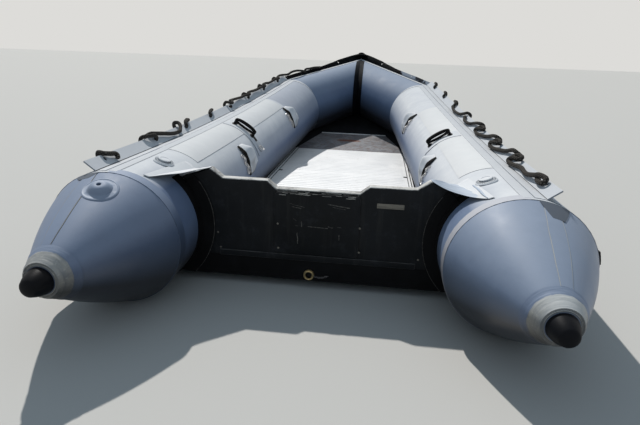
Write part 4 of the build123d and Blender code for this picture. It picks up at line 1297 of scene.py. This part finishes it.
PORT_FIRST = [
    (-82, 65, 0), (-74, 55, 14), (-54, 50, 19), (-32, 44, 23), (-10, 36, 19), *DOWN_THROUGH,
    (-22, 50, -16), (-25, 67, -2), (-15, 62, 13), (15, 52, 16), (89, 38, 15), (137, 22, 15),
    (180, 13, 15), (220, 15, 19), (240, 25, 18), (272, 40, 20), (294, 62, 18), (290, 76, 4),
    (300, 60, -15), (335, 38, -17),
]
PORT_LUMP = [
    *DOWN_THROUGH, (-8, 50, -16), (-14, 66, -8), (-12, 72, 10), (-16, 46, 24), (0, 34, 33),
    (22, 50, 30), (40, 60, 18), (80, 56, 22), (160, 54, 15), (240, 50, 15), (300, 46, 21),
    (330, 38, 24),
]
PORT_END = [
    (20, 36, 20), (60, 40, 32), (110, 38, 38), (160, 32, 34), (208, 26, 22), (240, 23, 6),
    (240, 23, -14), (258, 36, -15), (268, 50, -4), (274, 46, 12), (300, 36, 20), (345, 32, 24),
    (400, 28, 18), (440, 25, 13),
]
LACING = {
    "starboard": [STARBOARD_START] + 3 * [STARBOARD_LUMP] + [STARBOARD_FLAT] + 3 * [ARCH + UNDER],
    "port": [PORT_START, PORT_FIRST] + 2 * [ARCH + UNDER] + 4 * [PORT_LUMP],
}
print("routes", {side: len(routes) for side, routes in LACING.items()})

# %% [markdown]
# The flange leans outboard from its root on top of the tube. Three directions describe
# its blade, and the points of the routes are laid out along them at each place of the
# tube. The control points are joined by a smooth curve, and the rope is swept along it.

# %% Lifelines
BLADE_LEAN = radians(53)
BLADE_ROOT = TUBE_RADIUS + 0.00405
root_angle = radians(FLANGE_ANGLE)
blade_root = Vector((sin(root_angle), 0, cos(root_angle))) * BLADE_ROOT
blade_out = Vector((sin(BLADE_LEAN), 0, cos(BLADE_LEAN)))
blade_up = Vector((-cos(BLADE_LEAN), 0, sin(BLADE_LEAN)))


def on_blade(at, forward, width, height):
    """A point by its distance forward, across the flange's blade and above it."""
    return at(forward) @ (blade_root + blade_out * width + blade_up * height)


def lifeline(side, seed, bow_end=()):
    chance = random.Random(seed)
    controls = []
    for hole, route in enumerate(LACING[side]):
        start = FIRST_HOLE + hole * HOLE_PITCH
        for along, width, height in route:
            if along != 0:
                along += chance.uniform(-4, 4)
                width += chance.uniform(-3, 3)
                height += chance.uniform(0, 3) if height > 0 else chance.uniform(-2, 0)
            forward = start + along / 1000
            if forward < KINK_Y - 0.01:
                controls.append(on_blade(tube_place, forward, max(width, 4) / 1000, height / 1000))
    for along, width, height in bow_end:
        controls.append(on_blade(bow_place, along / 1000, width / 1000, height / 1000))
    return swept(smoothed(controls), ROPE_RADIUS)


made("lifeline_starboard", lifeline("starboard", 3), ROPE_BLACK)
made("lifeline_port", mirrored(lifeline("port", 8, PORT_END)), ROPE_BLACK)
print("lifelines", 2 * ROPE_RADIUS, "m thick")

# %% [markdown]
# The black collar round the transom ends in a thin lip on the board's face. Its rim has
# lost its paint in places, so a thin rod in the chipped finish is swept along it.

# %% Rims of the collars
LIP_RADIUS = 0.3004
LIP_FACE = TRANSOM_Y - 0.0061
RIM_SPAN = (-54, -136)
LIP_STEPS = 40
rim_points = []
for step in range(LIP_STEPS + 1):
    angle = radians(RIM_SPAN[0] + (RIM_SPAN[1] - RIM_SPAN[0]) * step / LIP_STEPS)
    x, z = HALF_CENTRES + LIP_RADIUS * sin(angle), TUBE_RADIUS + LIP_RADIUS * cos(angle)
    rim_points.append(Vector((x, LIP_FACE, z)))
made_twice("collar_rim_line", swept(rim_points, 0.0011, 6), CHIPPED_PAINT)
print("collar rim", LIP_RADIUS, "m in radius")

# %% [markdown]
# ## Fabric
# From the top corner of the transom a web of fabric runs to each tube. It is a triangle
# with a flap along one side, and the flap is glued to the tube up to the valve. Hands
# pull at its free aft edge. To starboard that edge hangs slack, and small ripples run
# from the transom's corner along the cloth. Its span gets darker, bluer cloth than its
# glued flap: painted shade, where the span slopes away from the sun.

# %% Webs beside the transom
WEB_ROWS = 28
HORN = ((0.4265, 0.034, 0.4815), (0.4265, 0.004, 0.4815))
WEB_FOOT = ((0.150, -42), (-0.170, -27))
FLAP_REACH = ((0.150, -31), (-0.174, -23))
WEB_LIFT = 0.0024
FLAP_LIFT = 0.009
FOLD_SAG = 0.013
RIPPLE = 0.0048


def between(pair, share):
    return [a + (b - a) * share for a, b in zip(*pair)]


def web_point(aft, out, sag):
    """A place on the web: aft from its fore edge to its free edge, out from horn to flap."""
    foot = between(WEB_FOOT, aft)
    if out > 1:
        reach = between(FLAP_REACH, aft)
        share = out - 1
        wander = 0.004 * noise.noise(Vector((aft * 6, share * 5, sag * 100))) * share
        forward, angle = between((foot, reach), share)
        lift = WEB_LIFT + 0.004 * (share < 0.02) * (aft > 0.7)
        return on_tube(forward + wander, radians(angle), lift)
    corner = between(HORN, aft)
    horn = Vector((corner[0], TRANSOM_Y + corner[1], corner[2]))
    edge = on_tube(foot[0], radians(foot[1]), WEB_LIFT)
    point = horn.lerp(edge, out)
    slack = 4 * out * (1 - out)
    hang = slack * (sag * aft ** 2 + 0.004)
    fold = 0.0035 * slack * noise.noise(Vector((aft * 5, out * 3, sag * 300)))
    ripple = RIPPLE * slack * min(sag / FOLD_SAG, 1) * sin(25 * aft) * (1 - 0.5 * out)
    return point + Vector((0, 0.4 * hang * aft, -hang + fold + ripple))


def web(sag):
    shape = bmesh.new()
    bmesh.ops.create_grid(shape, x_segments=WEB_ROWS, y_segments=WEB_ROWS * 2, size=0.5)
    for vert in shape.verts:
        vert.co = web_point(vert.co.x + 0.5, (vert.co.y + 0.5) * 2, sag)
    bmesh.ops.recalc_face_normals(shape, faces=shape.faces)
    if sum(face.normal.z for face in shape.faces) < 0:
        bmesh.ops.reverse_faces(shape, faces=shape.faces)
    return shape


def sheet_area(shape):
    return sum(face.calc_area() for face in shape.faces)


def fabric_sheet(name, shape, finish, replaces):
    """A single skin of fabric, given its wall by a modifier."""
    area = sheet_area(shape)
    piece = made(name, shape, finish, replaces)
    wall = piece.modifiers.new("wall", "SOLIDIFY")
    wall.thickness = FABRIC
    wall.offset = 1.0
    return piece


for side, factor in SIDES:
    cloth = web(FOLD_SAG) if factor > 0 else mirrored(web(0.0))
    print("web", side, "area", round(sheet_area(cloth), 4))
    piece = fabric_sheet(f"transom_web_dressed_{side}", cloth, PATCH_CLOTH,
                         [f"transom_web_{side}"])
    if factor > 0:
        # The span of the starboard web takes the painted-shade cloth, and its flap keeps the plain
        # one.
        piece.data.materials.append(SHADED_WEB_CLOTH)
        for face in piece.data.polygons:
            off_axis = hypot(face.center.x - HALF_CENTRES, face.center.z - TUBE_RADIUS)
            face.material_index = 1 if off_axis > TUBE_RADIUS + FLAP_LIFT else 0

# %% [markdown]
# The starboard web has been stretched out of its shape, and a fold has stayed in it from
# the valve to the free edge. It is swept along the web's own surface, thin at both ends.

# %% Fold in the starboard web
FOLD_RADIUS = 0.0055
FOLD_STEPS = 14
FOLD_ENDS = ((0.36, 1.62), (0.98, 1.06))
fold_points, fold_radii = [], []
for step in range(FOLD_STEPS + 1):
    share = step / FOLD_STEPS
    place = web_point(*between(FOLD_ENDS, share), FOLD_SAG)
    fold_points.append(place + Vector((0.004 * sin(share * 5), 0, 0.002)))
    fold_radii.append(FOLD_RADIUS * (0.25 + 0.75 * sin(pi * min(share + 0.1, 1)) ** 0.7))
# The fold takes the same painted-shade cloth.
made("web_fold_starboard", swept(fold_points, fold_radii), SHADED_WEB_CLOTH)
print("fold length", round((fold_points[-1] - fold_points[0]).length, 3), "m")

# %% [markdown]
# Two lashing patches are glued inside each tube. Each is a piece of fabric that lies flat
# where its black strap is sewn on, climbs to a soft ridge, and eases down again ahead of
# it. The strap runs down towards the floor. A ring lies beside its low end, and three
# small links hang together above the ring.

# %% Lashing pockets
POCKETS = ((0.720, 0), (1.790, 8))
POCKET_LENGTH = 0.175
POCKET_MOUTH = (-86, -47)
POCKET_FORE = (-78, -60)
POCKET_PEAK = -58
POCKET_RISE = 0.046
RIDGE_SHARE = 0.36
STRAP_DEPTH = 0.016
STRAP_THICKNESS = 0.0024
RING_AFT = 0.022
RING_ABOVE = 8
LINKS_AFT = 0.030
LINKS = ((15, 24), (20, -20), (25, 18))


def pocket_point(start, turn, along, across, lift=0.0):
    """A place on a pocket: along from strap to fore end, across from its low edge up."""
    ahead_share = min(max((along - RIDGE_SHARE) / (1 - RIDGE_SHARE), 0.0), 1.0)
    ease = ahead_share * ahead_share * (3 - 2 * ahead_share)
    low = POCKET_MOUTH[0] + (POCKET_FORE[0] - POCKET_MOUTH[0]) * ease + turn
    high = POCKET_MOUTH[1] + (POCKET_FORE[1] - POCKET_MOUTH[1]) * ease + turn
    angle = low + (high - low) * across
    peak = (POCKET_PEAK - POCKET_MOUTH[0]) / (POCKET_MOUTH[1] - POCKET_MOUTH[0])
    side = max(across / peak if across < peak else (1 - across) / (1 - peak), 0.0)
    tent = side ** 1.2 * (1 - 0.14 * side ** 6)
    climb = min(max(along / RIDGE_SHARE, 0.0), 1.0)
    ridge = (0.14 + 0.86 * climb ** 1.15) * (1 - ease) ** 1.1
    crumple = 0.004 * noise.noise(Vector((along * 3.1 + start, across * 5.3, turn)))
    height = 0.0012 + POCKET_RISE * ridge * tent + crumple * min(side * 3, 1) + lift
    return on_tube(start + POCKET_LENGTH * along, radians(angle), max(height, 0.0008 + lift))


def pocket(start, turn, along=(0, 1), lift=0.0, rows=(18, 22)):
    shape = bmesh.new()
    bmesh.ops.create_grid(shape, x_segments=rows[0], y_segments=rows[1], size=0.5)
    for vert in shape.verts:
        share = along[0] + (along[1] - along[0]) * (vert.co.x + 0.5)
        vert.co = pocket_point(start, turn, share, vert.co.y + 0.5, lift)
    bmesh.ops.recalc_face_normals(shape, faces=shape.faces)
    if sum(face.normal.x for face in shape.faces) > 0:
        bmesh.ops.reverse_faces(shape, faces=shape.faces)
    return shape


for side, factor in SIDES:
    straps, rings = [], []
    for number, (start, turn) in enumerate(POCKETS, 1):
        cloth = pocket(start, turn)
        strap = pocket(start, turn, (-0.03, STRAP_DEPTH / POCKET_LENGTH), 0.0018, (3, 22))
        bmesh.ops.solidify(strap, geom=all_of(strap), thickness=-STRAP_THICKNESS)
        straps.append(strap)
        low_edge = POCKET_MOUTH[0] + turn
        ring_place = tipped(skin_place(start - RING_AFT, low_edge + RING_ABOVE, 0.0065), -10)
        rings.append(ring_of(ring_place, 0.018, 0.0032, 1.15, 24))
        for above, tilt in LINKS:
            link_place = tipped(skin_place(start - LINKS_AFT, low_edge + above, 0.0072), tilt)
            rings.append(ring_of(link_place, 0.0115, 0.0026, 1.3, 14))
        print("pocket", side, number, "area", round(sheet_area(cloth), 4))
        if factor < 0:
            cloth = mirrored(cloth)
        fabric_sheet(f"lashing_pocket_dressed_{side}_{number}", cloth, PATCH_CLOTH,
                     [f"lashing_pocket_{side}"])
    for name, parts, finish, slot in (("pocket_strap", straps, WEBBING_BLACK, "black_webbing"),
                                      ("pocket_ring", rings, STEEL, "steel")):
        whole = merged(*parts) if factor > 0 else mirrored(merged(*parts))
        made(f"{name}_dressed_{side}", whole, finish, [f"{name}_{side}"])

# %% [markdown]
# ## Bow flange and floor edges
# The bow flange has a grey foot on the tube and a black blade, so its copy gets two
# finishes, sorted by how far each face lies from the axis of the bow run. The blade was
# cut by hand: it is narrow at the kink and wider towards the nose. To bend its straight
# edge the copy is cut across at even steps, and then each point is moved along the blade's
# width. A rubber lug, turned like the caps, covers the joint at the nose.

# %% Bow flange
RIM_STEPS = 22
RIM_STEP = 0.05
RIM_FIXED = 0.012
RIM_WIDTHS = ((0.0, 0.56), (0.15, 0.66), (0.32, 0.62), (0.48, 0.66), (0.62, 0.9), (0.78, 1.25),
              (0.95, 1.38), (1.2, 1.34))
FOOT_THICKNESS = 0.0062
BLADE_WIDTH_MM = 52


def rim_width(along):
    """How wide the blade is at a distance from the kink, as a share of the CAD blade."""
    for (near, before), (far, after) in zip(RIM_WIDTHS[:-1], RIM_WIDTHS[1:]):
        if along <= far:
            share = max(along - near, 0) / (far - near)
            return before + (after - before) * share * share * (3 - 2 * share)
    return RIM_WIDTHS[-1][1]


bow_origin, bow_ahead = bow_start.translation, bow_start.col[1].xyz
back = bow_start.inverted()
for side, factor in SIDES:
    shape = copy_of(f"bow_flange_{side}")
    if factor < 0:
        shape = mirrored(shape)
    for step in range(RIM_STEPS):
        cut = bow_origin + bow_ahead * RIM_STEP * step
        bmesh.ops.bisect_plane(shape, geom=all_of(shape), plane_co=cut, plane_no=bow_ahead)
    for vert in shape.verts:
        local = back @ vert.co
        width = (local - blade_root).dot(blade_out)
        if width > RIM_FIXED:
            longer = (width - RIM_FIXED) * (rim_width(local.y) - 1)
            vert.co = bow_start @ (local + blade_out * longer)
    bmesh.ops.triangulate(shape, faces=[face for face in shape.faces if len(face.verts) > 4])
    if factor < 0:
        shape = mirrored(shape)
    blade = made(f"bow_flange_dressed_{side}", shape, BOW_RIM,
                 [f"bow_flange_{side}"])
    blade.data.materials.append(FLANGE_FABRIC)
    for face in blade.data.polygons:
        offset = Vector((factor * face.center.x, face.center.y, face.center.z)) - bow_origin
        off_axis = (offset - bow_ahead * offset.dot(bow_ahead)).length
        face.material_index = 1 if off_axis < TUBE_RADIUS + FOOT_THICKNESS else 0
LUG_OUTLINE = [(0, 0.035), (0.020, 0.033), (0.031, 0.027), (0.036, 0.016), (0.052, 0.010),
               (0.066, 0.003), (0.070, -0.008), (0, -0.008)]
LUG_ALONG = 1.035
LUG_ACROSS = 0.042
LUG_TILT = -12
lug_centre = on_blade(bow_place, LUG_ALONG, LUG_ACROSS, 0.003)
lug_centre.x = 0
lug = moved(spun(LUG_OUTLINE, 32), tipped(Matrix.Translation(lug_centre), LUG_TILT, "X"))
made("nose_lug", lug, LUG_RUBBER)
rim_ends = [round(BLADE_WIDTH_MM * rim_width(along), 1) for along in (0, 1)]
print("bow rim", rim_ends, "mm wide at its ends")

# %% [markdown]
# Along both sides of the floor run two black lines, the rubber lip of the channel and the
# joint beside it, and at each seam of the boards the lip is cut back by a notch. Each is a
# cube scaled to a long thin block.

# %% Floor edges
FLOOR_TOP = 0.162
LIP_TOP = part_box("floor_stringer_starboard")[1].z
FLOOR_SPAN = (TRANSOM_Y + 0.05, TRANSOM_Y + 2.185)
SEAMS = (0.705, 1.368)
LIP_EDGES = (0.4262, 0.4298)
JOINT_EDGES = (0.4425, 0.4475)
NOTCH_INNER = 0.404
NOTCH_HALF = 0.011


def block(low, high):
    shape = bmesh.new()
    bmesh.ops.create_cube(shape, size=1)
    bmesh.ops.scale(shape, vec=[b - a for a, b in zip(low, high)], verts=shape.verts)
    bmesh.ops.translate(shape, vec=[(a + b) / 2 for a, b in zip(low, high)], verts=shape.verts)
    return shape


lines = []
for (inner, outer), foot, rise in ((LIP_EDGES, FLOOR_TOP, 0.0022), (JOINT_EDGES, LIP_TOP, 0.002)):
    lines.append(block((inner, FLOOR_SPAN[0], foot), (outer, FLOOR_SPAN[1], foot + rise)))
for seam in SEAMS:
    aft, fore = TRANSOM_Y + seam - NOTCH_HALF, TRANSOM_Y + seam + NOTCH_HALF
    lines.append(block((NOTCH_INNER, aft, FLOOR_TOP), (LIP_EDGES[0], fore, FLOOR_TOP + 0.0016)))
made_twice("floor_edge_lines", merged(*lines), BLACK_RUBBER)
print("floor lines", len(lines), "a side")

# %% [markdown]
# ## Floor and light
# The boat stands on a plain pale floor. One sun stands half way up the sky, ahead of the
# port bow: that puts the transom and the inboard side of the port tube in shade, lights
# the inboard side of the starboard tube, and throws the stern's shadow aft. The world
# fills the shade with a weak cool light, but looks pale to the camera and in reflections.

# %% Floor, world and lamps
FLOOR_REACH = 60
FLOOR_PAPER = shade("cfcdc8")
PALE = shade("dddcd9")
SKY_FILL = (0.64, 0.82, 1.0, 1.0)
WORLD_STRENGTH = 0.33
SUN_FROM = (-0.415, 0.80, 1.0)
SUN_COLOUR = (1.0, 0.97, 0.93)
SUN_STRENGTH = 2.75
SUN_SPREAD = radians(1)


def stage_floor():
    shape = bmesh.new()
    bmesh.ops.create_grid(shape, x_segments=1, y_segments=1, size=FLOOR_REACH)
    mesh = bpy.data.meshes.new("floor")
    shape.to_mesh(mesh)
    shape.free()
    floor = bpy.data.objects.new("floor", mesh)
    bpy.context.scene.collection.objects.link(floor)
    mix = Recipe("floor_paper", roughness=0.9)
    mesh.materials.append(mix.done(colour=FLOOR_PAPER))


def stage_world():
    world = bpy.data.worlds.new("world")
    bpy.context.scene.world = world
    world.use_nodes = True
    tree = world.node_tree
    light = tree.nodes["Background"]
    light.inputs["Color"].default_value = SKY_FILL
    light.inputs["Strength"].default_value = WORLD_STRENGTH
    seen = tree.nodes.new("ShaderNodeBackground")
    seen.inputs["Color"].default_value = PALE
    seen.inputs["Strength"].default_value = 1.0
    path = tree.nodes.new("ShaderNodeLightPath")
    rays = path.outputs["Is Camera Ray"]
    for kind in ("Is Glossy Ray", "Is Transmission Ray"):
        either = tree.nodes.new("ShaderNodeMath")
        either.operation = "MAXIMUM"
        tree.links.new(rays, either.inputs[0])
        tree.links.new(path.outputs[kind], either.inputs[1])
        rays = either.outputs[0]
    mix = tree.nodes.new("ShaderNodeMixShader")
    tree.links.new(rays, mix.inputs[0])
    tree.links.new(light.outputs[0], mix.inputs[1])
    tree.links.new(seen.outputs[0], mix.inputs[2])
    tree.links.new(mix.outputs[0], tree.nodes["World Output"].inputs["Surface"])


def stage_sun():
    data = bpy.data.lights.new("sun", "SUN")
    data.energy = SUN_STRENGTH
    data.angle = SUN_SPREAD
    data.color = SUN_COLOUR
    light = bpy.data.objects.new("sun", data)
    bpy.context.scene.collection.objects.link(light)
    light.rotation_euler = Vector(SUN_FROM).to_track_quat("Z", "Y").to_euler()


stage_floor()
stage_world()
stage_sun()
bpy.context.scene.view_settings.view_transform = "Standard"
print("sun", SUN_STRENGTH, "world", WORLD_STRENGTH)

# %% [markdown]

# %% Import json
import json
